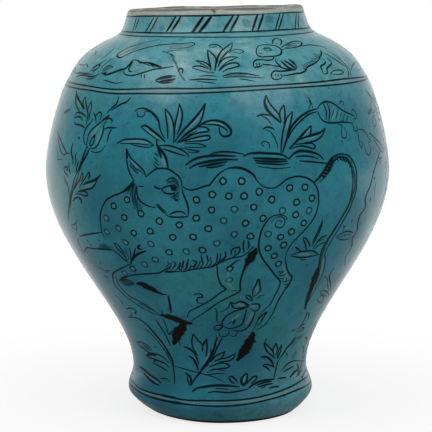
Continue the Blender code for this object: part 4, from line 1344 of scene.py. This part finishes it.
LEFT_TULIP = {LINE: (
    ((104.3, 119.4), (98.3, 124.1), (92.9, 128.8), (89.2, 133.8), (87.5, 139.2), (86.9, 144.5),
     (87.9, 147.9)),
    ((107, 120.4), (104.3, 124.4), (103.6, 128.4), (102.6, 133.8), (100.3, 139.8), (97.6, 145.2),
     (94.2, 148.5), (90.2, 147.9)),
    ((95.2, 134.2), (91.6, 139.2), (89.9, 144.5), (90.9, 145.9), (93.6, 143.2), (94.6, 138.5),
     (95.4, 134.2)),
    ((106.3, 119.7), (109.6, 118.1), (112.3, 120.7), (111.7, 123.4)),
    ((103.6, 129.8), (107.6, 127.8), (112.3, 127.8), (117, 127.8)),
    ((111.7, 129.1), (109.6, 133.1), (108.3, 137.1), (107, 142.5)),
    ((93.6, 112.7), (95.6, 117.1), (96.3, 122.4)),
    ((95.6, 116.4), (98.3, 113), (100.9, 112.4), (101.6, 115), (100.3, 119.7)),
    ((93.6, 118.4), (90.2, 123.1), (86.9, 127.1), (84.9, 131.8), (83.9, 137.1), (84.2, 141.8),
     (86.2, 145.2)),
    ((77.5, 172), (74.8, 178.7), (72.8, 185.4), (70.8, 194.1), (69.6, 203.4), (68.7, 210.1), (68.4, 220.1)),
    ((79.5, 171.3), (77.5, 177.3), (75.5, 184), (73.5, 190), (71.5, 196.1), (70.8, 202.1), (69.8, 212)),
    ((76.4, 91.9), (75.7, 97.9), (76.1, 104), (78.1, 108.7), (80.1, 112)),
    ((85.4, 96.6), (83.4, 101.3), (83.4, 105.3), (84.8, 108.7)),
    ((85.8, 96.6), (85.8, 102), (86.8, 107.3), (87.5, 112)),
    ((92.1, 100.6), (89.5, 105.3), (88.1, 110.7), (88.1, 115.4), (86.6, 124)),
    ((91.5, 102), (91.5, 107.3), (90.1, 112.7), (88.8, 120.7)),
    ((74.7, 116), (76.1, 113.4), (80.1, 112.7), (84.1, 114.7), (86.1, 116.7)),
    ((74.1, 118), (77.4, 116.7), (80.8, 117.4), (82.8, 120.7)),
    ((74.4, 124.1), (78.8, 124.7), (82.8, 126.1), (84.8, 128.1)),
    ((118.9, 96.6), (116.9, 103.3), (112.2, 108), (106.9, 113.4)),
    ((130.3, 97.3), (127.6, 101.3), (120.3, 104.6), (114.9, 108), (111.6, 110.7)),
    ((76.8, 151.9), (75.5, 156.6), (76.2, 160.6), (74.8, 166.6)),
    ((78.8, 160.6), (76.8, 167.3), (76.2, 172.6)), ((69.1, 162.6), (69.1, 168), (70.5, 174)),
    ((64.1, 168), (66.8, 166.6), (67.5, 169.3), (66.1, 171.3)),
    ((64.1, 168.6), (64.8, 172), (66.8, 174.6), (68.8, 177.3)),
    ((64.1, 175.3), (65.4, 180.7), (67.5, 184.7), (68.8, 191.4), (69.5, 198.1)),
    ((57.4, 130.4), (59.4, 137.1), (62.1, 143.2), (64.8, 149.2), (67.5, 153.2), (69.5, 153.2)),
    ((58.1, 138.5), (59.4, 145.2), (61.4, 151.9), (63.4, 155.2)),
    ((82.2, 172.6), (80.2, 178.7), (77.5, 183.4), (74.8, 188.7)), ((82.9, 172.6), (82.9, 178), (80.8, 182)),
    ((88.9, 172), (86.2, 176.7), (82.9, 182), (79.5, 187.4)),
    ((97.6, 178.7), (95.6, 183.4), (92.2, 188), (86.9, 189.4), (81.5, 190.7), (77.5, 192.1)),
    ((78.8, 191.4), (83.5, 190.7), (86.9, 192.7), (87.9, 194.7), (85.5, 196.1), (80.2, 194.1),
     (75.5, 194.1)),
    ((72.8, 201.4), (75.5, 198.1), (78.8, 197.4), (81.5, 198.7)),
    ((79.8, 236.2), (88.5, 234.2), (97.9, 232.9), (101.9, 232.2)),
    ((84.5, 252.3), (87.1, 247.6), (91.2, 248.3), (97.9, 248.9), (105.9, 249.6), (112.6, 250.3)),
), BOLD: (
    ((109.6, 115.2), (106.6, 117.6), (102, 121)),
    ((86.9, 146.5), (84.9, 151.9), (82.9, 158.6), (80.2, 165.3), (77.3, 172.6)),
    ((89.6, 148.5), (87.5, 153.9), (84.2, 159.9), (81.5, 164.6), (79.3, 172)),
    ((76.1, 90.6), (76.7, 95.3), (79.4, 100.6), (82.1, 105.3), (84.1, 109.3)),
    ((72.8, 143.2), (71.8, 147.9), (71.5, 153.2), (72.8, 158.6), (72.8, 163.9)),
    ((89.2, 172), (89.6, 176), (88.2, 179.3)),
    ((100.9, 174.6), (96.9, 178.7), (92.2, 181.3), (86.9, 182.7), (82.9, 184.7)),
    ((78.8, 198.4), (81.5, 200), (81, 203.8)), ((95.2, 134.4), (93.4, 138)),
    ((79, 191.2), (82, 190.8), (85.4, 191.4)),
), FINE: (
    ((90.9, 151.2), (96.3, 152.5), (101.6, 150.5), (105.6, 145.2)),
    ((56.7, 148.5), (58.1, 154.6), (57.4, 158.6), (62.1, 159.2)), ((63.4, 155.2), (67.5, 153.2)),
    ((70, 109.3), (64, 113.4)), ((77.1, 219.5), (75.8, 223.5), (71.1, 225.5)),
    ((75.8, 223.5), (77.1, 228.2), (75.8, 230.2)), ((72, 227), (74.6, 230)),
    ((78.4, 238.2), (79.1, 243.6), (81.8, 250.3), (83.8, 254.3)),
    ((95.2, 265.7), (101.9, 269), (108.6, 273)), ((103.9, 275.7), (108.6, 277.7)),
    ((105.9, 270.4), (110.6, 271)), ((99.9, 261), (101.2, 264.3)), ((74.4, 121.6), (76, 125.4)),
), DOT: (
    ((78.2, 137.6), (80, 138.4)), ((87, 240.2), (88.4, 241)), ((90.4, 244.6), (91.6, 245)),
    ((98.6, 239.6), (100.2, 241)),
), SHADE: (
    ((64, 112.6), (67, 111.4), (70.4, 109.2)), ((83, 157), (86.6, 152), (88.6, 147.6)),
), WASH: (
    ((91, 138), (95, 130.6), (101, 124.6)), ((96, 144), (99.4, 136), (102, 128)),
    ((87, 177), (83, 182), (80, 187)), ((95, 181), (90, 185), (84, 188)), ((77.6, 96), (78, 102), (81, 107)),
    ((85, 99), (85, 105)), ((90.4, 105), (89, 113)),
)}

LOW_TULIP = {LINE: (
    ((244.9, 308.6), (235.3, 311), (225.7, 316.5), (222, 323), (223, 326)),
    ((246.5, 309.4), (244.9, 316.5), (241.7, 324.5), (236.9, 326.9), (229, 328.5), (223, 326)),
    ((255.2, 311.7), (252, 320.5), (247.3, 327.7), (240.9, 330.9), (231.3, 330)),
    ((252.8, 297.4), (252.8, 291), (256, 284.6), (258.4, 279), (260, 286.2), (260, 291), (256, 295),
     (252.8, 297.4)),
    ((249.6, 305.4), (254.4, 303.8), (259.2, 304.6), (259.2, 308.6), (255.2, 311), (250.4, 308.6)),
    ((213.8, 327.7), (217, 325.3), (222.5, 326), (220, 329.3), (215.4, 330), (213.8, 327.7)),
    ((222.5, 337.4), (217.5, 346.6), (213.8, 354.8), (208, 363.6), (201, 372)),
    ((193.3, 333.4), (191.9, 341.8), (193, 347.8), (196.4, 352.8)),
    ((193.3, 333.4), (198.3, 340.5), (202.2, 344.6), (203, 350.1)),
    ((206.7, 338.6), (202.9, 345.6), (202.2, 351.8)), ((206.7, 338.6), (207, 349), (205.8, 357.4)),
    ((193.7, 352.8), (196.3, 356.8), (199, 364.2)), ((210.6, 362), (215.4, 356.4), (225, 351.4)),
    ((225, 351.4), (222.2, 357.2), (218.6, 359.6), (214, 361.4)),
    ((218.6, 359.6), (227, 357.6), (233.1, 354.6), (235.8, 352.8)),
    ((235.4, 354.2), (232.6, 358.8), (227, 361.2), (218.6, 361.6)),
    ((209, 367), (215, 364.6), (221.7, 362.8), (227.7, 364.2), (229.7, 365.8), (227, 367.8), (221.7, 368.5),
     (212, 369.4)),
    ((187, 375.5), (188.3, 380.9), (189.6, 385.6)),
    ((207.7, 393), (213.8, 391.6), (228.4, 392.6), (239.8, 390.9), (248.5, 388.9)),
    ((244.9, 295), (249, 295.4), (252.6, 300.4)), ((245.4, 296.4), (248.6, 299.4), (252.4, 300.8)),
), BOLD: (
    ((230.5, 302), (234.5, 303.8), (240, 301.4), (244.9, 303), (248, 306.2), (243.3, 307.8), (233.7, 307.8),
     (230.5, 302)),
    ((217.1, 336.7), (214.6, 346.4), (210.2, 356.8), (205, 365), (199, 373.8), (194.3, 379.6),
     (191.7, 384.9)),
    ((183.6, 346.4), (189.5, 348.8), (194.6, 352.8), (198.2, 355.6)),
    ((189, 356), (192.7, 358.2), (196.4, 364), (198.4, 370.6)),
    ((185, 372.5), (189, 375.5), (191, 380.2), (191, 385.6)),
    ((192.3, 391.6), (197, 388.3), (204.4, 386.9), (213.8, 385.6), (228.4, 385.6), (239.8, 386.9)),
    ((234.9, 319), (232.9, 324.5)),
), FINE: (
    ((230.5, 301.4), (228, 307.8), (220, 312.5)), ((214.6, 307.8), (217, 311.7), (217, 320.5), (221, 324.5)),
    ((232, 320.5), (228, 324.5)), ((256, 299), (260.8, 295.8), (264.4, 294.8)),
    ((218.6, 330.9), (220, 335.7), (225, 336.5), (229, 333.3), (229, 329.3)),
    ((229.7, 334.9), (233.7, 336.5), (236.9, 334), (236.9, 330.9)), ((211.1, 347.4), (210.4, 352.8)),
    ((174.9, 366.2), (187, 369.5), (199, 372.9), (213.8, 376.9), (224.5, 382.2)),
    ((206.4, 372.9), (213.8, 369.6), (225, 370.4)), ((207, 374.6), (216, 373.6), (225, 373.6)),
    ((215, 388.3), (228.4, 389.2)),
), WASH: (
    ((229, 323), (235, 318), (241, 313)), ((246, 325), (250, 318), (253, 312)), ((250, 306), (255, 306.6)),
    ((233, 303.6), (239, 304.6), (244, 305.4)), ((256, 292), (258, 285)),
    ((217.6, 341), (211, 352.6), (203.6, 364.4)), ((187, 375), (190, 380)),
)}

LOW_LEFT_PLANT = {LINE: (
    ((144.6, 329), (148.8, 331.3), (154.8, 337.4), (160.8, 344.7), (166.2, 352.6), (170.2, 360),
     (172.4, 366)),
    ((126.3, 309), (131.9, 308.2), (135.9, 310.6), (134.6, 314.4)),
    ((136.1, 341.4), (139.4, 345.4), (144.8, 349.4), (148.8, 352.4), (153.5, 353.2)),
    ((136.7, 342), (142.8, 342.7), (148.4, 346), (152.6, 350.8)),
    ((146.1, 356.1), (148.8, 353.4), (154.8, 353.8), (160.2, 355.4), (164.2, 357.7), (168.9, 362.8)),
    ((146.1, 356.1), (151.5, 358.1), (157.5, 360.1), (163.5, 363.5)),
    ((152.8, 362.8), (155.5, 360.6), (161.5, 361.6), (166.2, 364.4), (169.6, 367.5)),
    ((152.8, 362.8), (158.4, 365.5), (163, 368), (167.6, 371)),
    ((155.8, 319.4), (160.6, 326.5), (166.2, 336), (170.6, 346)),
), BOLD: (
    ((129.5, 317), (138.3, 318.6), (146.2, 324), (154.2, 332.9), (162.2, 342.5), (167.8, 351.2),
     (172.5, 360.8), (174.2, 373), (174.6, 384)),
    ((138.8, 366), (144.1, 369.6), (150.1, 374.9), (156.2, 379), (161.5, 383)),
    ((143.4, 372.9), (148.1, 377.5), (153.5, 382.2), (159.5, 385.6)),
    ((146.4, 355.6), (150, 354.4), (156, 355.4)),
), FINE: (
    ((129.5, 311.4), (131.9, 313.8), (128.7, 317.8)), ((142.8, 343.6), (146.8, 348.7)),
    ((146.4, 345.2), (150.1, 350.1)), ((140, 343.4), (144, 348)), ((154.2, 346.7), (156.8, 348.1)),
    ((163, 318.6), (166.2, 326.5), (168.6, 333.7)), ((166.9, 330), (168.9, 334.7), (170.9, 332.7)),
    ((160.2, 378.2), (166.9, 378.9), (169.6, 381.6)), ((114.3, 294.6), (119, 297.8), (124, 305.8)),
), SHADE: (
    ((143, 344.6), (148, 348.6), (151, 350.8)),
), WASH: (
    ((143, 370.6), (150, 377), (158, 382.6)), ((130, 310.4), (133.4, 312.6), (133, 316)),
    ((150, 330.6), (158.6, 341), (167, 353)),
)}

LOW_RIGHT_PLANT = {LINE: (
    ((266.8, 338.3), (264.3, 343.4), (266, 349.4), (270.4, 354.2), (275, 358.4)),
    ((264.9, 342.9), (269.4, 347.8), (272.4, 351), (274, 354.6)), ((275.9, 342.7), (273, 349.4), (274, 356)),
    ((275.9, 342.7), (277, 349.6), (275.2, 355.2)), ((281.4, 344.6), (278, 352), (277.3, 359.3)),
    ((281.4, 344.6), (280.4, 351), (278, 358)),
    ((262.5, 365.5), (266.6, 364.2), (271.9, 366.2), (274.6, 367.5)),
    ((262.5, 365.8), (266.6, 367.5), (269.9, 370.9)),
    ((228.7, 376.9), (231.1, 376.2), (235.8, 379.6), (237.8, 382.9)),
    ((228.7, 376.9), (231.1, 381.6), (235.1, 383.6)),
    ((247.1, 383.6), (250.5, 378.9), (255.2, 376.2), (257.2, 376.9), (255.2, 380.2), (250.5, 383.6)),
    ((268.6, 388.3), (273.9, 386.9), (279.3, 386.3)),
    ((273.9, 379.6), (275.3, 370.2), (277.3, 363.5), (279.5, 358.6)),
    ((256.5, 385.4), (263, 382.8), (272, 381.2)), ((258, 387), (265, 384.8), (273, 383.4)),
    ((322, 221.7), (318.5, 230), (314.7, 237.6), (312.1, 244)),
    ((326.8, 235.4), (323.6, 236.4), (319.8, 238.9), (315.9, 244), (312.8, 249.1)),
    ((325.5, 242.1), (321.7, 243.4), (317.9, 245.9), (314, 249.7)),
    ((302.6, 237.6), (305.7, 238.3), (308.3, 242.1), (310.2, 247.2)),
    ((303.2, 238.9), (305.1, 244), (306.4, 249.7)), ((295, 246.8), (300.6, 251)),
    ((291, 255), (299.4, 251.9), (306.4, 251), (312.8, 251), (317.2, 253.6), (319.1, 254.8)),
    ((291, 256), (300, 257.4), (307.7, 256.8), (314.7, 255.5), (318.5, 254.5)),
    ((335.7, 236.4), (340.8, 233.8), (345.9, 231.3), (352.9, 232.5)),
    ((333.8, 268.2), (330.6, 272.7), (329.3, 277.8), (330.6, 284.2), (330, 290.6)),
    ((319.8, 291.8), (323, 290.6), (327.4, 292.5), (328.7, 295.7)),
    ((307.4, 311.7), (305.5, 317.4), (301.7, 323.8), (297.2, 328.9)),
    ((308.7, 312.3), (308.7, 316.8), (307.4, 320)), ((296.6, 329.5), (301, 325.7), (304.9, 323.8)),
    ((297.9, 332.1), (301, 330.8), (303.6, 328.9), (302.3, 327.6), (299, 330.4)),
    ((281.9, 369.7), (285.7, 365.3), (290.2, 362.1), (295.3, 360.2)),
    ((283.2, 371.6), (288.3, 369.1), (293.4, 365.9)), ((295.9, 376.7), (298.5, 373.5), (301.7, 369.7)),
    ((278, 378.4), (286.4, 377.4)), ((300.4, 376.1), (303.6, 379.3), (304.9, 382.5)),
    ((322.3, 219.8), (321.7, 225.5), (319.1, 232.5), (315.3, 239.5), (312.1, 246.6)),
    ((380, 158.9), (380, 163.5)), ((370.8, 196.2), (369.6, 203)), ((365.3, 217.9), (364.2, 221.3)),
    ((361, 222.5), (359.9, 225)), ((358.2, 236.2), (357, 238)),
), BOLD: (
    ((260.5, 357.1), (265.9, 356.8), (270.6, 360.1), (273.9, 366.2)),
    ((247.5, 372.9), (243.8, 375.5), (241.5, 379.6), (241.8, 383.6), (243.8, 384.9), (246.5, 381.6),
     (247.5, 372.9)),
    ((248.5, 388.3), (252.5, 384.9), (259.2, 381.6), (267.2, 379.9), (273.9, 379.2)),
    ((295.9, 337.2), (292.1, 342.3), (287, 347.4), (283.8, 352.5), (279.4, 358.6)),
    ((289.6, 377.4), (292.8, 373.5), (295.3, 371), (297.9, 369.7)), ((374.8, 176.7), (374.2, 180.1)),
    ((380.5, 148), (377.1, 160.6), (373.6, 172.1), (370.2, 185.8), (365.6, 197.3), (365.1, 207.6),
     (359.9, 215.6), (357.6, 223.6), (357, 230.5), (352.4, 238.5), (351.3, 247.7), (346, 256), (344.5, 266)),
), FINE: (
    ((260.5, 388.3), (266, 386.3)), ((372, 100), (374.6, 106), (373, 113), (370.8, 106), (372, 100)),
    ((373.4, 115), (376, 121), (374.6, 127), (372.6, 121), (373.4, 115)), ((300, 260), (306.4, 259.3)),
    ((336.4, 237), (340.8, 239.5), (345.9, 239.5), (352.3, 236.4)),
    ((338.3, 237.6), (344.6, 235.1), (351, 234.4)),
    ((342.1, 231.9), (344, 228.7), (343.4, 226.1), (345.9, 226.8)),
    ((341.5, 271.4), (338.3, 276.5), (333.8, 282.3)),
    ((323.6, 275.9), (327.4, 279.7), (327.4, 285.5), (328.7, 291.8)),
    ((319.8, 292.5), (321.7, 294.4), (326.8, 296.3)),
    ((316.4, 298.9), (320.8, 295.7), (323.4, 298.3), (320.8, 302.8), (316.4, 299.6)),
    ((322.1, 304), (320.2, 307.9), (318.3, 311.7)), ((317, 241), (320, 240.4), (323.6, 238.4)),
    ((285.6, 352), (288, 356.4)), ((375.4, 182.4), (374.2, 195), (373.6, 201.9)),
), SHADE: (
    ((289, 344.6), (293, 340), (295.6, 336)), ((291.5, 331), (295.6, 329.4)),
    ((296.6, 337.2), (301, 337), (303, 333.6)),
), WASH: (
    ((267, 346), (271, 354)), ((275.4, 347), (275, 354)), ((244, 376), (244, 382)),
    ((299, 328), (302, 320), (303.6, 314)), ((298, 254.4), (310, 254)),
), DOT: (
    ((352.3, 219.8), (351, 221.7)),
), SMUDGE: (
    ((292, 346), (295.4, 342), (299, 337.6)), ((291.6, 361), (294, 355), (296, 350)),
    ((300, 258.6), (305, 258.4)),
)}

# The ring of a spot, in millimetres, and the dab of wash in it, in pixels of the frame
SPOT_RADIUS = 2.1
SPOT_REACH = 1.8

PLANTS = {
    "middle_tuft": MIDDLE_TUFT,
    "right_tuft": RIGHT_TUFT,
    "left_tulip": LEFT_TULIP,
    "low_tulip": LOW_TULIP,
    "low_left_plant": LOW_LEFT_PLANT,
    "low_right_plant": LOW_RIGHT_PLANT,
}

# Plants that fill the flanks, each with the pixel that is carried to the middle of the flank
FLANK_PLANTS = ((FRIEZE_TUFT, (218, 62)), (LEFT_TULIP, (97, 160)), (LOW_TULIP, (232, 340)))


# Stage

WHITE = (*linear("ffffff"), 1.0)

# The floor: how far it goes, how much light it throws up and how strong its shadow is near the pot
FLOOR_REACH = 6.0
FLOOR_CORNERS = ((-1, -1), (1, -1), (1, 1), (-1, 1))
FLOOR_BOUNCE = (*linear("cbcbcb"), 1.0)
FLOOR_SHADOW = 0.22
SHADOW_REACH = (0.06, 0.36)

# The lamps and the world that light the pot
SOFTBOXES = {"left softbox": (-1.06, -1.0, 2.1), "right softbox": (1.05, -1.3, 1.95)}
SOFTBOX_SIZE = 1.8
SOFTBOX_POWER = 16.0
AMBIENT = 0.62

# The white sweep that gloss shows: where it starts and is full, and its tones in the room and above
FLOOR_SWEEP = (-0.05, 0.3)
WORLD_SWEEP = (0.25, 0.95)
SWEEP_TOP = (0.05, 0.6)
ROOM_TONE = 0.12
TOP_TONE = 0.3


def backdrop_tone(tree, place, reach):
    """Brightness of the white sweep behind the object, which dims upward and into the room before it."""
    parts = add(tree, "SeparateXYZ", {"Vector": place}).outputs
    sweep = add(tree, "MapRange", {
        "Value": parts["Y"], "From Min": reach[0], "From Max": reach[1], "To Min": ROOM_TONE, "To Max": 1.0,
    }).outputs["Result"]
    dimming = add(tree, "MapRange", {
        "Value": parts["Z"], "From Min": SWEEP_TOP[0], "From Max": SWEEP_TOP[1],
        "To Min": 1.0, "To Max": TOP_TONE,
    }).outputs["Result"]
    return add(tree, "Math", {0: sweep, 1: dimming}, operation="MULTIPLY").outputs["Value"]


def studio_rays(tree):
    """Shares of the rays that the camera sends, and of those that gloss or glass sends on."""
    rays = add(tree, "LightPath").outputs
    mirrored = add(tree, "Math", {
        0: rays["Is Glossy Ray"], 1: rays["Is Transmission Ray"],
    }, operation="MAXIMUM")
    return rays["Is Camera Ray"], mirrored.outputs["Value"]


class VASE_OT_stage(bpy.types.Operator):
    """Sets up the camera, the pale floor and the soft studio light"""

    bl_idname = "vase.stage"
    bl_label = "Stage"

    def execute(self, context):
        scene = context.scene
        stage = scene.vase_stage
        lens = bpy.data.cameras.new("camera")
        lens.sensor_width = SENSOR_WIDTH
        lens.lens = stage.focal
        camera = bpy.data.objects.new("camera", lens)
        camera.location = (stage.aside, -stage.distance, stage.eye_height)
        camera.rotation_euler = (math.pi / 2 - stage.pitch, 0.0, 0.0)
        scene.collection.objects.link(camera)
        scene.camera = camera
        scene.view_settings.view_transform = "Standard"
        self.floor(scene, stage)
        self.lamps(scene)
        self.world(scene)
        context.view_layer.update()
        return {"FINISHED"}

    def floor(self, scene, stage):
        """Lays a matt floor that the camera sees as white, with the pot's shadow on it."""
        mesh = bpy.data.meshes.new("floor")
        corners = [(x * FLOOR_REACH, y * FLOOR_REACH, 0) for x, y in FLOOR_CORNERS]
        mesh.from_pydata(corners, [], [(0, 1, 2, 3)])
        floor = bpy.data.objects.new("floor", mesh)
        scene.collection.objects.link(floor)
        material, tree, out = blank("pale studio floor, matt")
        direct, mirrored = studio_rays(tree)
        place = add(tree, "TexCoord").outputs["Object"]
        away = add(tree, "VectorMath", {0: place}, operation="LENGTH").outputs["Value"]
        near = add(tree, "MapRange", {
            "Value": away, "From Min": SHADOW_REACH[0], "From Max": SHADOW_REACH[1],
            "To Min": FLOOR_SHADOW, "To Max": 0.0,
        }, interpolation_type="SMOOTHSTEP")
        white = add(tree, "Emission", {"Color": WHITE, "Strength": 1.0})
        pale = add(tree, "BsdfDiffuse", {"Color": (*stage.floor, 1)})
        shown = add(tree, "MixShader", {
            0: near.outputs["Result"], 1: white.outputs["Emission"], 2: pale.outputs["BSDF"],
        })
        tone = backdrop_tone(tree, place, FLOOR_SWEEP)
        sweep = add(tree, "Emission", {"Color": WHITE, "Strength": tone})
        matt = add(tree, "BsdfDiffuse", {"Color": FLOOR_BOUNCE})
        unseen = add(tree, "MixShader", {
            0: mirrored, 1: matt.outputs["BSDF"], 2: sweep.outputs["Emission"],
        })
        seen = add(tree, "MixShader", {0: direct, 1: unseen.outputs["Shader"], 2: shown.outputs["Shader"]})
        tree.links.new(seen.outputs["Shader"], out.inputs["Surface"])
        mesh.materials.append(material)

    def lamps(self, scene):
        """Hangs two round softboxes before the pot."""
        for name, place in SOFTBOXES.items():
            light = bpy.data.lights.new(name, "AREA")
            light.shape = "DISK"
            light.size = SOFTBOX_SIZE
            light.energy = SOFTBOX_POWER
            lamp = bpy.data.objects.new(name, light)
            lamp.location = place
            aim = Vector((0, 0, CAD_HIGH.z / 2)) - Vector(place)
            lamp.rotation_euler = aim.to_track_quat("-Z", "Y").to_euler()
            scene.collection.objects.link(lamp)

    def world(self, scene):
        """Fills the room with even light, white to the camera and a sweep to gloss."""
        world = bpy.data.worlds.new("white studio")
        world.use_nodes = True
        tree = world.node_tree
        tree.nodes.clear()
        direct, mirrored = studio_rays(tree)
        way = add(tree, "TexCoord").outputs["Generated"]
        tone = backdrop_tone(tree, way, WORLD_SWEEP)
        lit = add(tree, "Mix", {"Factor": mirrored, "A": AMBIENT, "B": tone})
        strength = add(tree, "Mix", {"Factor": direct, "A": lit.outputs["Result"], "B": 1.0})
        sky = add(tree, "Background", {"Color": WHITE, "Strength": strength.outputs["Result"]})
        out = add(tree, "OutputWorld")
        tree.links.new(sky.outputs["Background"], out.inputs["Surface"])
        scene.world = world


# Pieces

class VASE_OT_clay(bpy.types.Operator):
    """Turns the foot and the thrown sections of the wall"""

    bl_idname = "vase.clay"
    bl_label = "Clay Sections"

    def execute(self, context):
        clay = buff_fritware()
        for node in ("foot_ring", "lower_body", "upper_body"):
            turn_anew("thrown_" + node, node, clay)
        return {"FINISHED"}


class VASE_OT_slip(bpy.types.Operator):
    """Turns the slip in the luted joints"""

    bl_idname = "vase.slip"
    bl_label = "Luting Slip"

    def execute(self, context):
        slip = luting_slip()
        for node in ("foot_luting_slip", "belly_luting_slip", "neck_luting_slip"):
            turn_anew("fired_" + node, node, slip)
        return {"FINISHED"}


class VASE_OT_collar(bpy.types.Operator):
    """Turns the neck with its pale lip"""

    bl_idname = "vase.collar"
    bl_label = "Neck and Lip"

    def execute(self, context):
        turn_anew("pale_lipped_neck", "neck_collar", pale_lip_glaze())
        return {"FINISHED"}


class VASE_OT_glaze(bpy.types.Operator):
    """Lays the glaze coats inside and outside"""

    bl_idname = "vase.glaze"
    bl_label = "Glaze Coats"

    def execute(self, context):
        outer = turned("turquoise_outer_glaze", glaze_line())
        settle(outer, turquoise_glaze(), ["outer_glaze"])
        turn_anew("liner_glaze", "inner_glaze", grey_liner_glaze())
        return {"FINISHED"}


class VASE_OT_bands(bpy.types.Operator):
    """Paints the ruled lines and the slanted bars on the neck"""

    bl_idname = "vase.bands"
    bl_label = "Ruled Bands"

    def execute(self, context):
        outside, pigment = Outside(), painted_pigment()
        lines = Painting(outside)
        for ruled in (RULED_WASHES, GIRDLES):
            for brush, girdles in ruled.items():
                for pixels in girdles:
                    lines.girdle(pixels, brush)
        lines.finished("painted_ruled_lines", pigment)
        for side, turn, _ in SIDES:
            bars = Painting(outside, turn)
            for motif in (NECK_BARS, RULED_OVERSTROKES):
                bars.draw(motif)
            bars.finished("painted_neck_bars_" + side, pigment)
        for flank, turns in FLANK_BAR_TURNS.items():
            bars = Painting(outside)
            for degrees in turns:
                bars.turn = math.radians(degrees)
                bars.draw(FLANK_BARS)
            bars.finished("painted_neck_bars_" + flank, pigment)
        return {"FINISHED"}


class VASE_OT_frieze(bpy.types.Operator):
    """Paints the shoulder's frieze of running and swimming animals among plants"""

    bl_idname = "vase.frieze"
    bl_label = "Shoulder Frieze"

    def execute(self, context):
        outside, pigment = Outside(), painted_pigment()
        for side, turn, mirrored in SIDES:
            duck = Painting(outside, turn, mirrored)
            duck.draw(DUCK)
            duck.finished("painted_duck_" + side, pigment)
            hare = Painting(outside, turn, mirrored)
            hare.draw(HARE)
            hare.fringe(*HARE_FRINGE, FINE)
            hare.finished("painted_hare_" + side, pigment)
            plants = Painting(outside, turn, mirrored)
            for motif in (SHORE_PLANT, FRIEZE_TUFT, FRIEZE_BRANCH):
                plants.draw(motif)
            plants.finished("painted_frieze_plants_" + side, pigment)
        return {"FINISHED"}


class VASE_OT_animal(bpy.types.Operator):
    """Paints the large spotted animal"""

    bl_idname = "vase.animal"
    bl_label = "Spotted Animal"

    def execute(self, context):
        outside, pigment = Outside(), painted_pigment()
        for side, turn, mirrored in SIDES:
            animal = Painting(outside, turn, mirrored)
            for spots, brush in ((DARK_SPOTS, RING), (LIGHT_SPOTS, PALE_RING)):
                for x, y in spots:
                    dab = [(x - SPOT_REACH, y), (x, y), (x + SPOT_REACH, y)]
                    animal.lay(animal.placed(dab), SPOT_WASH)
                    animal.ring((x, y), SPOT_RADIUS, brush)
            animal.draw(ANIMAL)
            animal.spiral(*ANIMAL_SPIRAL, FINE)
            for fringe in ANIMAL_FRINGES:
                animal.fringe(*fringe, FINE)
            animal.finished("painted_spotted_animal_" + side, pigment)
        return {"FINISHED"}


class VASE_OT_plants(bpy.types.Operator):
    """Paints the tufts, tulips and low plants around the animal"""

    bl_idname = "vase.plants"
    bl_label = "Plants"

    def execute(self, context):
        outside, pigment = Outside(), painted_pigment()
        for side, turn, mirrored in SIDES:
            for name, motif in PLANTS.items():
                plant = Painting(outside, turn, mirrored)
                plant.draw(motif)
                plant.finished("painted_" + name + "_" + side, pigment)
        for flank, turn in FLANKS.items():
            plants = Painting(outside)
            for motif, centre in FLANK_PLANTS:
                plants.turn = turn - (outside.seen_at([centre])[0, 0] - FRONT)
                plants.draw(motif)
            plants.finished("painted_flank_plants_" + flank, pigment)
        return {"FINISHED"}


class VASE_PT_panel(bpy.types.Panel):
    """Lists the steps that make the vase"""

    bl_label = "Painted Vase"
    bl_idname = "VASE_PT_panel"
    bl_space_type = "VIEW_3D"
    bl_region_type = "UI"
    bl_category = "Vase"

    def draw(self, context):
        for operator in STEPS:
            self.layout.operator(operator.bl_idname)


GROUPS = {"vase_form": VaseForm, "vase_colours": VaseColours, "vase_stage": VaseStage}
STEPS = (VASE_OT_stage, VASE_OT_clay, VASE_OT_slip, VASE_OT_collar, VASE_OT_glaze, VASE_OT_bands,
         VASE_OT_frieze, VASE_OT_animal, VASE_OT_plants)


def register():
    for name, group in GROUPS.items():
        bpy.utils.register_class(group)
        setattr(bpy.types.Scene, name, PointerProperty(type=group))
    for step in STEPS:
        bpy.utils.register_class(step)
    bpy.utils.register_class(VASE_PT_panel)


def unregister():
    bpy.utils.unregister_class(VASE_PT_panel)
    for step in reversed(STEPS):
        bpy.utils.unregister_class(step)
    for name, group in GROUPS.items():
        delattr(bpy.types.Scene, name)
        bpy.utils.unregister_class(group)


def main():
    register()
    for step in STEPS:
        family, action = step.bl_idname.split(".")
        getattr(getattr(bpy.ops, family), action)()


if __name__ == "__main__":
    main()
